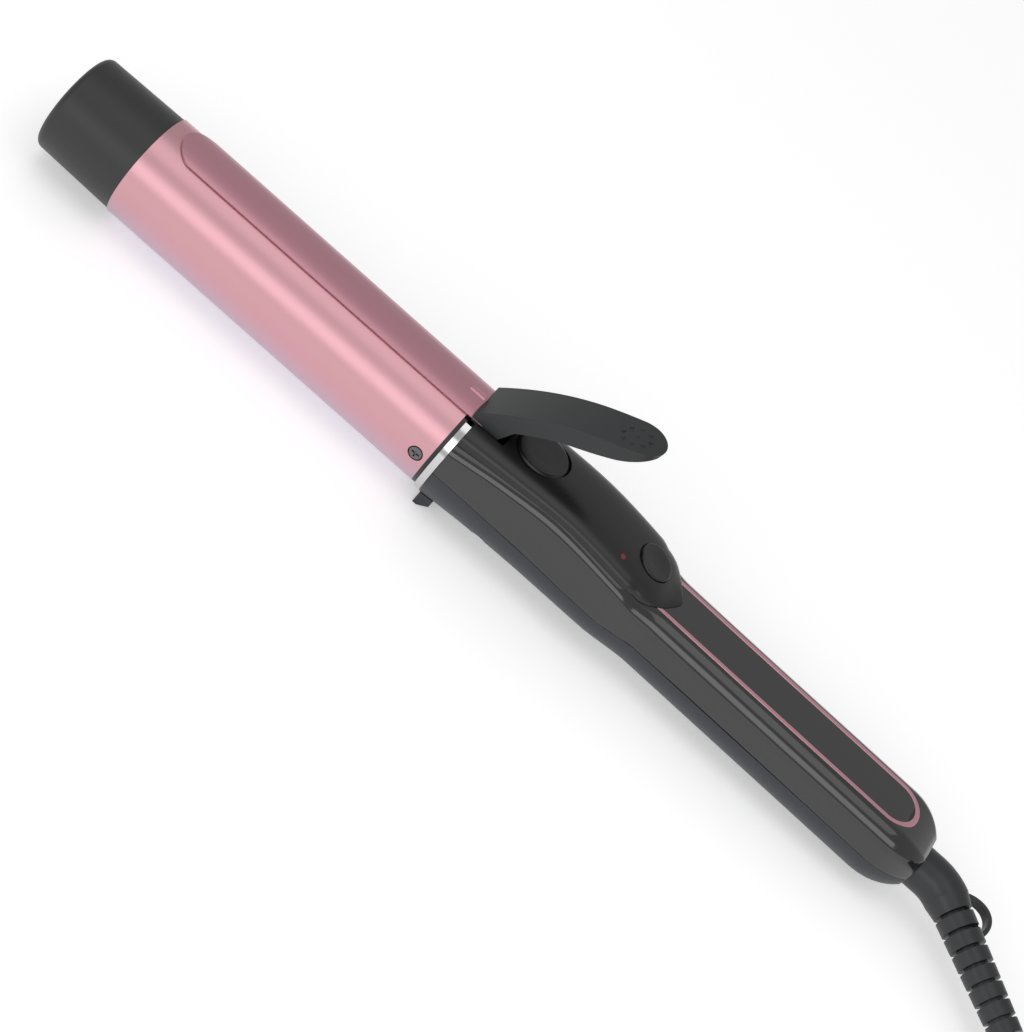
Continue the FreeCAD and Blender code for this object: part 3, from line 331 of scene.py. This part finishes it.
def anodised_with_painted_reflection(name):
    """Anodised aluminium with a round grain, whose rose turns to a painted lilac reflection of the
    floor low on the barrel.

    The share of lilac is (PAINTED_REFLECTION_BELOW - height) * PAINTED_REFLECTION_SLOPE, in
    metres, kept from 0 to 1.
    """
    finish = Finish(name, ROSE, 0.36, 0.78, Coat_Weight=0.12)
    # Painted reflection: the base colour turns from rose to lilac towards the bottom of the
    # barrel, standing in for the floor reflected there.
    share = (PAINTED_REFLECTION_BELOW - finish.axis("Z")) * PAINTED_REFLECTION_SLOPE
    share = finish.node("ShaderNodeClamp", None, {"Value": share})
    finish.set("Base Color", finish.mix(share, ROSE, REFLECTED_LILAC))
    finish.bump(finish.noise(0.25, 3.0, finish.stretched(0.2, 1.0, 1.0)), 0.003)
    return finish


rubber = satin("cord_rubber", (0.017, 0.018, 0.020), 0.42, 0.35, 0.012)
anodised = anodised_with_painted_reflection("rose_anodised")
lacquer = Finish("rose_lacquer", (0.52, 0.25, 0.30), 0.33, 0.72, Coat_Weight=0.2)
lacquer.bump(lacquer.noise(0.3, 3.0), 0.003)
FINISHES = {
    "rose_anodised": anodised,
    "rose_lacquer": lacquer,
    "tip_black": satin("tip_black", (0.020, 0.020, 0.022), 0.46, 0.25, 0.006),
    "neck_black": satin("neck_black", (0.012, 0.012, 0.013), 0.45),
    "bright_steel": metal("bright_steel", (0.60, 0.60, 0.60), 0.16, (1.0, 0.2, 0.2)),
    "screw_steel": metal("screw_steel", (0.16, 0.15, 0.16), 0.32),
    "spring_steel": metal("spring_steel", (0.50, 0.50, 0.50), 0.30),
    "heater_ceramic": satin("heater_ceramic", (0.75, 0.73, 0.68), 0.60),
    "bare_aluminium": metal("bare_aluminium", (0.78, 0.79, 0.80), 0.32, (0.1, 1.0, 1.0)),
    "wire_sleeve": satin("wire_sleeve", (0.62, 0.58, 0.50), 0.60),
    "fuse_metal": metal("fuse_metal", (0.70, 0.66, 0.58), 0.35),
    "piano_black": satin("piano_black", (0.009, 0.009, 0.010), 0.15, 3.0, 0.001,
                         Coat_Weight=0.6, Coat_Roughness=0.05),
    "satin_black": satin("satin_black", (0.021, 0.024, 0.031), 0.42),
    "panel_black": satin("panel_black", (0.008, 0.008, 0.009), 0.33),
    "lever_black": satin("lever_black", (0.013, 0.015, 0.016), 0.44),
    "dial_black": satin("dial_black", (0.008, 0.008, 0.008), 0.30),
    "inlay_black": satin("inlay_black", (0.012, 0.011, 0.012), 0.40),
    "rose_gold": metal("rose_gold", (0.66, 0.34, 0.40), 0.22, (0.1, 1.0, 1.0)),
    "board_green": satin("board_green", (0.02, 0.12, 0.05), 0.40),
    "component_black": satin("component_black", (0.02, 0.02, 0.02), 0.50),
    "light_pipe": satin("light_pipe", (0.20, 0.02, 0.02), 0.25),
    "contact_brass": metal("contact_brass", (0.80, 0.60, 0.28), 0.30),
    "cord_rubber": rubber,
    "tie_black": satin("tie_black", (0.015, 0.015, 0.015), 0.40),
    "plug_black": satin("plug_black", (0.015, 0.015, 0.016), 0.40),
    "pin_nickel": metal("pin_nickel", (0.72, 0.70, 0.66), 0.22),
}
SLOT_NODES = {
    "rose_anodised": ["barrel_tube"], "rose_lacquer": ["clamp_plate"],
    "tip_black": ["cool_tip"],
    "neck_black": ["barrel_socket", "swivel_hub"], "bright_steel": ["neck_ring"],
    "screw_steel": ["barrel_screws", "clamp_pin", "housing_screws", "stand_pin", "lever_rivets"],
    "spring_steel": ["clamp_spring"], "heater_ceramic": ["heater_plate"],
    "bare_aluminium": ["heat_spreader_top", "heat_spreader_bottom"],
    "wire_sleeve": ["heater_leads", "temperature_sensor", "supply_wires"],
    "fuse_metal": ["thermal_fuse"],
    "piano_black": ["upper_housing"], "satin_black": ["lower_housing", "stand"],
    "panel_black": ["control_panel"], "lever_black": ["clamp_lever"],
    "dial_black": ["temperature_dial", "power_button"], "inlay_black": ["handle_inlay"],
    "rose_gold": ["inlay_trim"], "board_green": ["circuit_board"],
    "component_black": ["board_components", "temperature_control", "power_switch",
                        "terminal_block"],
    "light_pipe": ["indicator_light"], "contact_brass": ["slip_rings", "contact_blades"],
    "cord_rubber": ["strain_relief"], "tie_black": ["cord_tie"], "plug_black": ["plug_body"],
    "pin_nickel": ["plug_pins"],
}
for slot, names in SLOT_NODES.items():
    for name in names:
        paint(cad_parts[name], FINISHES[slot])

# %% [markdown]
# The cord is 1.8 m of round three-core flex, 6 mm thick. It leaves the sleeve in the
# direction that the sleeve points, sinks to the table and runs to a coil of three layers,
# which a tie holds. Its end climbs off the innermost turn into the plug, which lies on the
# coil. The line is one smooth NURBS curve: a few listed points where it runs free, and a
# loop for the turns.

# %% The cord's line
CORD_D = 6.0
ON_TABLE = TABLE + CORD_D / 2
SWIVEL_Z = -5.2
SLEEVE_SLANT = (1.0, -0.671, -0.10)
SLEEVE_DIRECTION = np.array(SLEEVE_SLANT) / np.linalg.norm(SLEEVE_SLANT)
SLEEVE_ELBOW = np.array([212.1, 0.0, SWIVEL_Z])
SLEEVE_PLAIN, SLEEVE_RIBS, SLEEVE_PITCH = 10.0, 7, 6.05
SLEEVE_END = SLEEVE_ELBOW + SLEEVE_DIRECTION * (SLEEVE_PLAIN + SLEEVE_RIBS * SLEEVE_PITCH)
IN_SLEEVE = 14.0
run_out = [SLEEVE_END - IN_SLEEVE * SLEEVE_DIRECTION, SLEEVE_END, (269.5, -38.3, -11.2),
           (284.0, -45.9, -15.3), (298.5, -51.9, ON_TABLE), (309.0, -55.0, ON_TABLE)]
COIL_X, COIL_Y = 330.0, -20.0
COIL_OUTSIDE, COIL_INSIDE = 37.4, 23.6
COIL_LAYERS = 3
COIL_START = math.radians(-106.0)
COIL_END = math.radians(190.0 + 8 * 360.0)
TAIL_R = 24.4
TAIL_CLIMB = np.array([(198.0, 13.0), (216.0, 15.6), (234.0, 18.4), (252.0, 20.6)])
PLUG_HEIGHT, PLUG_Y = 13.7, COIL_Y - 24.0


def coil_turns(count=26):
    """Points of the coil: in along the table, out on the second layer and in on the third.

    The radius changes by one diameter a turn within a layer, and the height by one diameter
    while the radius rests at the inside or the outside of the coil.
    """
    turn = np.linspace(COIL_START, COIL_END, int(count * (COIL_END - COIL_START) / (2 * np.pi)))
    done = (turn - COIL_START) / (2 * np.pi)
    across = (COIL_OUTSIDE - COIL_INSIDE) / CORD_D
    pause = (done[-1] - COIL_LAYERS * across) / (COIL_LAYERS - 1)
    marks = [0, across, across + pause, 2 * across + pause, 2 * across + 2 * pause, done[-1]]
    radius = np.interp(done, marks, [COIL_OUTSIDE, COIL_INSIDE, COIL_INSIDE, COIL_OUTSIDE,
                                     COIL_OUTSIDE, COIL_INSIDE])
    rise = np.interp(done, marks, [0, 0, 1, 1, 2, 2])
    step = rise - np.floor(rise)
    rise = np.floor(rise) + step * step * (3 - 2 * step)
    return np.stack([COIL_X + radius * np.cos(turn), COIL_Y + radius * np.sin(turn),
                     ON_TABLE + CORD_D * rise], axis=1)


def tail_points():
    """The tail: it climbs off the innermost turn into the plug that lies on the coil.

    TAIL_CLIMB gives its angle round the coil in degrees and its height over the first layer.
    """
    turn, height = np.radians(TAIL_CLIMB[:, 0]), TAIL_CLIMB[:, 1]
    climb = np.stack([COIL_X + TAIL_R * np.cos(turn), COIL_Y + TAIL_R * np.sin(turn),
                      ON_TABLE + height], axis=1)
    plug_axis = TABLE + COIL_LAYERS * CORD_D + PLUG_HEIGHT / 2
    ends = [(COIL_X + along, PLUG_Y, plug_axis) for along in (-1.5, 2.0, 8.0)]
    return np.vstack([climb, ends])


route = np.vstack([run_out, coil_turns(), tail_points()])
line = bpy.data.curves.new("mains_flex", "CURVE")
line.dimensions = "3D"
spline = line.splines.new("NURBS")
spline.points.add(len(route) - 1)
spline.points.foreach_set("co", np.hstack([in_frame(route), np.ones((len(route), 1))]).ravel())
spline.order_u = 3
spline.use_endpoint_u = True
spline.resolution_u = 6
line.bevel_depth = CORD_D / 2 * MM
line.bevel_resolution = 5
line.use_fill_caps = True
flex = bpy.data.objects.new("mains_flex", line)
bpy.context.scene.collection.objects.link(flex)
fit(flex, "cord", rubber, "cord_rubber", "mains_cord", "cord_coil", "cord_tail")
print("cord's line: %.3f m" % spline.calc_length())

# %% [markdown]
# The lever, stand, plug and sleeve keep the CAD's shapes, and their edges are rounded a
# little, as on any real piece.

# %% Soft edges
def soften(name, width_mm, angle=38.0):
    """Round the edges of a CAD node as its mould or its tool would."""
    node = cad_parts[name]
    bevel = node.modifiers.new("soft_edges", "BEVEL")
    bevel.width = width_mm * MM
    bevel.segments = 3
    bevel.limit_method = "ANGLE"
    bevel.angle_limit = math.radians(angle)
    bevel.harden_normals = True


soften("clamp_lever", 0.7)
soften("stand", 0.4)
soften("plug_body", 1.2)
soften("strain_relief", 0.35)

# %% [markdown]
# The handle is drawn by sections across X. Its sizes at a few stations are joined by
# a curve that never over- or undershoots, and the back end shrinks like a dome.

# %% The handle's sections
HOUSING_START, HANDLE_END = node_span("upper_housing", 0)
END_DOME = 15.3
DOME_START = HANDLE_END - END_DOME
DOME_FULL = END_DOME * 1.25
GRIP_START = 88.0
HANDLE_HALF, HANDLE_TOP, DROOP = 15.0, 10.4, 1.8
INLAY_HALF, TRIM = 7.8, 2.0
R, H = BARREL_R, HANDLE_HALF
FLAT = INLAY_HALF + TRIM
HALF, PARTING, FLANK, LEDGE, LEDGE_Z, CROWN = range(1, 7)
STATIONS = np.array([
    (HOUSING_START, R + 0.7, -0.8, R - 12.4, R - 2.6, R - 7.5, R - 0.8),
    (24.0, R - 0.7, -2.1, R - 10.2, R - 3.1, R - 5.7, R + 0.2),
    (44.0, R - 1.4, -3.0, R - 9.4, R - 3.6, R - 4.7, R + 0.9),
    (72.0, R - 1.5, -4.0, R - 11.4, R - 3.9, R - 7.2, R - 2.0),
    (80.0, H + 1.3, -3.9, HANDLE_TOP - 5.4, H - 3.1, HANDLE_TOP + 0.2, HANDLE_TOP + 4.5),
    (GRIP_START, H, -3.7, HANDLE_TOP - 6.8, FLAT, HANDLE_TOP, HANDLE_TOP + 1.0),
    (DOME_START, H, -3.7 - DROOP, HANDLE_TOP - 6.8 - DROOP, FLAT, HANDLE_TOP - DROOP,
     HANDLE_TOP)])


def at(x, column):
    """A size of the handle at each x: a cubic through the stations with limited slopes.

    Each inner slope is the weighted harmonic mean of its neighbours', or 0 where they differ
    in sign, so the curve keeps between the stations it joins.
    """
    xs, ys = STATIONS[:, 0], STATIONS[:, column]
    x = np.clip(x, xs[0], xs[-1])
    steps = np.diff(xs)
    slopes = np.diff(ys) / steps
    tangent = np.concatenate([slopes[:1], np.zeros(len(xs) - 2), slopes[-1:]])
    for k in range(1, len(xs) - 1):
        if slopes[k - 1] * slopes[k] > 0:
            a, b = 2 * steps[k] + steps[k - 1], steps[k] + 2 * steps[k - 1]
            tangent[k] = (a + b) / (a / slopes[k - 1] + b / slopes[k])
    i = np.clip(np.searchsorted(xs, x, side="right") - 1, 0, len(xs) - 2)
    t = (x - xs[i]) / steps[i]
    return ((1 + 2 * t) * (1 - t) ** 2 * ys[i] + t * (1 - t) ** 2 * steps[i] * tangent[i]
            + t ** 2 * (t - 1) * steps[i] * tangent[i + 1] + t ** 2 * (3 - 2 * t) * ys[i + 1])


def column(values):
    """Numbers stood up as one column, to meet a row of others."""
    return values[:, None]


def domed(x, outline):
    """Sections (rows, points, 2) as points in space, shrunk towards the swivel at the back."""
    u = np.clip((x - DOME_START) / DOME_FULL, 0, 1)
    scale = np.sqrt(1 - u * u)[:, None]
    y = outline[..., 0] * scale
    z = SWIVEL_Z + (outline[..., 1] - SWIVEL_Z) * scale
    return np.stack([np.broadcast_to(x[:, None], y.shape), y, z], axis=2)


def upper_sections(x, inset, edge=0.3):
    """The upper shell's outline: a rounded lower edge, flank, shoulder arc and flat top."""
    half, flank = at(x, HALF) - inset, at(x, FLANK)
    ledge, ledge_z = at(x, LEDGE) - inset * 0.8, at(x, LEDGE_Z) - inset
    parting = at(x, PARTING)
    across, rise = half - ledge, ledge_z - flank
    radius = (across ** 2 + rise ** 2) / (2 * across)
    turn = np.linspace(0, 1, 16)[None, :] * np.arcsin(np.clip(rise / radius, -1, 1))[:, None]
    corner = np.linspace(np.pi / 2, 0, 5)[None, :]
    climb = np.linspace(0, 1, 7)[None, 1:-1]
    side_y = np.hstack([column(half) - edge + edge * np.cos(corner),
                        np.repeat(column(half), climb.shape[1], 1),
                        column(half - radius) + column(radius) * np.cos(turn)])
    side_z = np.hstack([column(parting) + edge - edge * np.sin(corner),
                        column(parting) + edge + column(flank - parting - edge) * climb,
                        column(flank) + column(radius) * np.sin(turn)])
    top = np.linspace(1, -1, 24)[None, 1:-1] * column(ledge)
    y = np.hstack([side_y, top, -side_y[:, ::-1]])
    z = np.hstack([side_z, np.repeat(column(ledge_z), top.shape[1], 1), side_z[:, ::-1]])
    return np.stack([y, z], axis=2)


handle_x = np.concatenate([np.linspace(HOUSING_START, DOME_START, 110),
                           DOME_START + END_DOME * np.sin(np.linspace(0, np.pi / 2, 28)[1:])])
wall = np.interp(handle_x, [HANDLE_END - 4, HANDLE_END], [2.0, 0.8])
upper_shell = shell_piece("upper_shell", domed(handle_x, upper_sections(handle_x, 0.0)),
                          domed(handle_x, upper_sections(handle_x, wall)), 45.0)


def block_piece(name, low, high):
    """A rectangular block between two corners, for cutting."""
    low, high = np.array(low, float), np.array(high, float)
    corners = np.array([[i, j, k] for i in (0, 1) for j in (0, 1) for k in (0, 1)])
    faces = [(0, 1, 3, 2), (4, 6, 7, 5), (0, 4, 5, 1), (2, 3, 7, 6), (0, 2, 6, 4), (1, 5, 7, 3)]
    return mesh_piece(name, low + corners * (high - low), faces)


def cut(piece, *cutters):
    """Take the cutters' volumes out of a piece, and remove the cutters."""
    for cutter in cutters:
        boolean = piece.modifiers.new("cut", "BOOLEAN")
        boolean.operation = "DIFFERENCE"
        boolean.solver = "EXACT"
        boolean.object = cutter
    evaluated = piece.evaluated_get(bpy.context.evaluated_depsgraph_get())
    piece.data = bpy.data.meshes.new_from_object(evaluated)
    piece.modifiers.clear()
    for cutter in cutters:
        bpy.data.objects.remove(cutter)
    finish_shading(piece, 40.0)


SLOT_END, SLOT_HALF, LEVER_GAP_HALF = 15.0, 12.7, 9.7
OPENING_HALF, OPENING_END = 11.0, 70.0
cut(upper_shell,
    block_piece("slot_cut", (0, -SLOT_HALF, 9.0), (SLOT_END, SLOT_HALF, 40)),
    block_piece("panel_cut", (SLOT_END - 0.5, -OPENING_HALF, 8.0),
                (OPENING_END, OPENING_HALF, 40)))
fit(upper_shell, "iron", FINISHES["piano_black"], "piano_black", "upper_housing")

# %% [markdown]
# The control panel is a thin dome over the electronics. Across, it is half a superellipse
# of power 2.6, which is flatter on top than a circle. Its tail narrows to a rounded point
# that lies on the handle's flat top.

# %% Control panel
PANEL_POWER = 2 / 2.6
NARROWING, NARROW_LENGTH, NARROW_DRAWN = 76.0, 14.3, 14.2


def panel_grid(x, inset):
    """Arches of the panel: y = half * sin(t)^(2/2.6), z = base + rise * cos(t)^(2/2.6)."""
    u = np.clip((x - NARROWING) / NARROW_LENGTH, 0, 1)
    tail = at(np.array([NARROWING]), LEDGE) * (1 - u * u) ** 0.8
    half = np.where(x <= NARROWING, at(x, LEDGE), tail) - inset
    half = np.maximum(half, 0.01)
    base = at(x, LEDGE_Z)
    rise = at(x, CROWN) - inset - base
    t = np.pi * (np.linspace(0, 1, 57) - 0.5)
    y = half[:, None] * np.sign(np.sin(t)) * np.abs(np.sin(t)) ** PANEL_POWER
    z = base[:, None] + rise[:, None] * np.abs(np.cos(t)) ** PANEL_POWER
    return np.stack([np.broadcast_to(x[:, None], y.shape), y, z], axis=2)


DIAL_X, DIAL_R, DIAL_TOP, DIAL_HEIGHT = 26.2, 9.6, R + 0.4, 2.8
WELL_R, WELL_WALL_R, WELL_TOP, WELL_FLOOR = 9.9, 11.2, R - 1.2, DIAL_TOP - DIAL_HEIGHT - 0.3
BUTTON_X, BUTTON_TILT = 75.4, math.radians(16.0)
KEY_R, KEY_HOLE_R, KEY_WELL_R, KEY_WELL_WALL_R = 6.6, 6.85, 6.95, 7.9
LIGHT_R, LIGHT_CENTRE = 0.9, (66.0, -9.9, 0)
BUTTON_Z = float(at(np.array([BUTTON_X]), CROWN)[0])


def tilted(rows):
    """Points drawn about the button's own axis, turned and carried to its place."""
    c, s = math.cos(BUTTON_TILT), math.sin(BUTTON_TILT)
    x, y, z = rows[..., 0], rows[..., 1], rows[..., 2]
    return np.stack([BUTTON_X + x * c + z * s, y, BUTTON_Z - x * s + z * c], axis=-1)


def plain_cutter(name, radius, low, high, count, centre=(0, 0, 0), place=None):
    """A round cutter from low to high, upright or carried to its place by a function."""
    rows = turned(np.array([(low, radius), (high, radius)]), count, centre)
    return tube_piece(name, place(rows) if place else rows)


narrow_x = NARROWING + NARROW_DRAWN * np.sin(np.linspace(0, np.pi / 2, 24)[1:])
panel_x = np.concatenate([np.linspace(HOUSING_START, NARROWING, 90), narrow_x])
panel = shell_piece("control_dome", panel_grid(panel_x, 0.0), panel_grid(panel_x, 0.9), 45.0)
cut(panel,
    plain_cutter("well_cut", WELL_R, WELL_FLOOR, 60.0, 128, (DIAL_X, 0, 0)),
    plain_cutter("button_cut", KEY_HOLE_R, -15.0, 30.0, 96, place=tilted),
    plain_cutter("light_cut", LIGHT_R, -10.0, 60.0, 32, LIGHT_CENTRE),
    block_piece("lever_cut", (0, -LEVER_GAP_HALF, -20), (SLOT_END, LEVER_GAP_HALF, 60)))
fit(panel, "iron", FINISHES["panel_black"], "panel_black", "control_panel")
cup_profile = rounded([(WELL_FLOOR - 1.2, 0.01), (WELL_FLOOR - 1.2, WELL_WALL_R),
                       (WELL_TOP, WELL_WALL_R), (WELL_TOP, WELL_R), (WELL_FLOOR, WELL_R),
                       (WELL_FLOOR, 0.01)], [0.5, 0.3, 0.3, 0.3, 0])
cup = tube_piece("dial_well", turned(cup_profile, 128, (DIAL_X, 0, 0)))
fit(cup, "iron", FINISHES["panel_black"], "panel_black")
button_cup = tube_piece("button_well", tilted(turned(rounded(
    [(-4.0, 0.01), (-4.0, KEY_WELL_WALL_R), (-0.9, KEY_WELL_WALL_R), (-0.9, KEY_WELL_R),
     (-3.4, KEY_WELL_R), (-3.4, 0.01)], [0.3, 0.3, 0.3, 0.3, 0]), 96)))
fit(button_cup, "iron", FINISHES["panel_black"], "panel_black")

# %% [markdown]
# The inlay is a flush matt strip in the handle's top, with a rose metal trim round it.
# The trim is one oval sweep: two straight sides and a half circle at the back.

# %% Inlay and trim
INLAY_START, INLAY_FROM_END = 82.3, 9.6
INLAY_END = HANDLE_END - INLAY_FROM_END
INLAY_SLOPE = math.atan2(DROOP, DOME_START - GRIP_START)
TRIM_TOP, TRIM_FOOT = 0.1, -0.9
INLAY_TOP, INLAY_FOOT = -0.08, -1.1


def on_top(x, y, lift):
    """Points on the handle's sloping top, lift above it."""
    z = HANDLE_TOP - (x - GRIP_START) * math.tan(INLAY_SLOPE) + lift
    return np.stack([x, y, z], axis=-1)


def stadium(half, count=60):
    """Plan of the inlay: a side, a half circle at the back, and the other side."""
    nose = INLAY_END - FLAT
    t = np.linspace(-np.pi / 2, np.pi / 2, count)
    side = np.linspace(INLAY_START, nose, 40)[:-1]
    x = np.concatenate([side, nose + half * np.cos(t), side[::-1]])
    y = np.concatenate([np.full(len(side), -half), half * np.sin(t), np.full(len(side), half)])
    return x, y


trim_shape = rounded([(FLAT, TRIM_FOOT), (FLAT, TRIM_TOP), (INLAY_HALF, TRIM_TOP),
                      (INLAY_HALF, TRIM_FOOT)], [0.7, 0.35])
trim_rows = np.stack([on_top(*stadium(half), lift) for half, lift in trim_shape], axis=1)
trim = tube_piece("rose_trim", trim_rows)
fit(trim, "iron", FINISHES["rose_gold"], "rose_gold", "inlay_trim")
x, y = stadium(INLAY_HALF - 0.02)
inlay_rows = [on_top(x, y, np.full(len(x), lift)) for lift in (INLAY_FOOT, INLAY_TOP)]
inlay = tube_piece("inlay_strip", np.stack(inlay_rows))
fit(inlay, "iron", FINISHES["inlay_black"], "inlay_black", "handle_inlay")

# %% [markdown]
# The dial has fine ribs round its rim: its radius falls by up to 0.35 mm between ribs. Its
# top is slightly dished, with a rounded edge. The button's top is dished as well.

# %% Dial and button
RIBS, RIB_DEPTH = 48, 0.35


def ribbed(profile, ribs, depth, low, high, count=768):
    """Rings about Z whose radius waves by depth between the heights low and high."""
    rows = turned(profile, count)
    angle = np.arctan2(rows[..., 1], rows[..., 0])
    wave = depth * (0.5 - 0.5 * np.cos(ribs * angle)) ** 0.5
    height = rows[..., 2]
    inside = np.clip((height - low) / 0.2, 0, 1) * np.clip((high - height) / 0.2, 0, 1)
    radius = np.hypot(rows[..., 0], rows[..., 1])
    factor = 1 - wave * inside * (radius > DIAL_R - 1.0) / np.maximum(radius, 1e-6)
    return np.stack([rows[..., 0] * factor, rows[..., 1] * factor, height], axis=2)


dial_profile = rounded([(DIAL_TOP - DIAL_HEIGHT, 0.01), (DIAL_TOP - DIAL_HEIGHT, DIAL_R),
                        (DIAL_TOP - 0.5, DIAL_R), (DIAL_TOP, DIAL_R - 0.9),
                        (DIAL_TOP - 0.25, 4.0), (DIAL_TOP - 0.3, 0.01)],
                       [0.2, 0.3, 0.5, 3.0], 5)
# The rim's rings stand after the upper arc's first point, which is above them, so the wall
# goes up, back down and up again there. One place earlier would make it a single wall.
UPPER_ARC_SECOND = 8
rim = [(z, DIAL_R) for z in np.linspace(DIAL_TOP - 2.3, DIAL_TOP - 1.0, 5)]
dial_profile = np.insert(dial_profile, UPPER_ARC_SECOND, rim, axis=0)
dial_rows = ribbed(dial_profile, RIBS, RIB_DEPTH, DIAL_TOP - 2.7, DIAL_TOP - 0.5)
dial_rows = dial_rows + np.array([DIAL_X, 0, 0])
dial = tube_piece("ribbed_dial", dial_rows, 50.0)
fit(dial, "dial", FINISHES["dial_black"], "dial_black", "temperature_dial")

button = tube_piece("power_key", tilted(turned(rounded(
    [(-2.6, 0.01), (-2.6, KEY_R), (0.5, KEY_R), (0.15, 2.0), (0.12, 0.01)],
    [0.2, 0.5, 3.0], 8), 128)))
fit(button, "button", FINISHES["dial_black"], "dial_black", "power_button")

# %% [markdown]
# The stage is a plain pale floor under soft light. A large panel in front and one above
# give the long soft highlights that a round, satin barrel needs to read as round.

# %% Floor, light and camera
FLOOR = 6.0
floor_mesh = bpy.data.meshes.new("floor")
corners = [(-FLOOR, -FLOOR, 0), (FLOOR, -FLOOR, 0), (FLOOR, FLOOR, 0), (-FLOOR, FLOOR, 0)]
floor_mesh.from_pydata(corners, [], [(0, 1, 2, 3)])
floor = bpy.data.objects.new("floor", floor_mesh)
bpy.context.scene.collection.objects.link(floor)
floor_finish = Finish("floor_white", (0.92, 0.92, 0.92), 0.8,
                      Emission_Color=(1.0, 1.0, 1.0, 1.0), Emission_Strength=0.34)
paint(floor, floor_finish)

world = bpy.data.worlds.new("studio")
bpy.context.scene.world = world
world.use_nodes = True
sky = world.node_tree.nodes["Background"]
sky.inputs["Color"].default_value = (1.0, 1.0, 1.0, 1.0)
sky.inputs["Strength"].default_value = 0.55


def away_from(azimuth, elevation):
    """Unit vector from the aim to a viewer at these angles in radians: azimuth 0 is at -Y."""
    return Vector((math.sin(azimuth) * math.cos(elevation),
                   -math.cos(azimuth) * math.cos(elevation), math.sin(elevation)))


def soft_box(name, power, size, away, azimuth, elevation, aim=(0.0, 0.0, 0.02)):
    """A square area light: away metres from aim, seen from aim at azimuth and elevation."""
    lamp = bpy.data.lights.new(name, "AREA")
    lamp.shape = "RECTANGLE"
    lamp.size, lamp.size_y = size
    lamp.energy = power
    light = bpy.data.objects.new(name, lamp)
    bpy.context.scene.collection.objects.link(light)
    back = away_from(math.radians(azimuth), math.radians(elevation))
    light.location = Vector(aim) + back * away
    light.rotation_mode = "QUATERNION"
    light.rotation_quaternion = back.to_track_quat("Z", "Y")


soft_box("front_panel", 4.0, (1.6, 0.5), 1.1, 0.0, 24.0)
soft_box("top_panel", 3.0, (1.4, 0.8), 1.3, -20.0, 75.0)

CAMERA_AZIMUTH = 0.0
CAMERA_ELEVATION = math.radians(39.0)
CAMERA_ROLL = math.radians(41.57)
CAMERA_AWAY, CAMERA_LENS = 0.940, 103.1
AIM = in_frame((31.6, -4.09, -5.05))
camera_data = bpy.data.cameras.new("camera")
camera_data.sensor_width = 36.0
camera_data.lens = CAMERA_LENS
camera_data.clip_start, camera_data.clip_end = 0.02, 20.0
camera = bpy.data.objects.new("camera", camera_data)
bpy.context.scene.collection.objects.link(camera)
bpy.context.scene.camera = camera
back = away_from(CAMERA_AZIMUTH, CAMERA_ELEVATION)
right = Vector((math.cos(CAMERA_AZIMUTH), math.sin(CAMERA_AZIMUTH), 0))
up = back.cross(right)
turned_right = right * math.cos(CAMERA_ROLL) + up * math.sin(CAMERA_ROLL)
turned_up = up * math.cos(CAMERA_ROLL) - right * math.sin(CAMERA_ROLL)
place = Matrix((turned_right, turned_up, back)).transposed().to_4x4()
place.translation = Vector(AIM) + back * CAMERA_AWAY
camera.matrix_world = place
bpy.context.scene.view_settings.view_transform = "Standard"
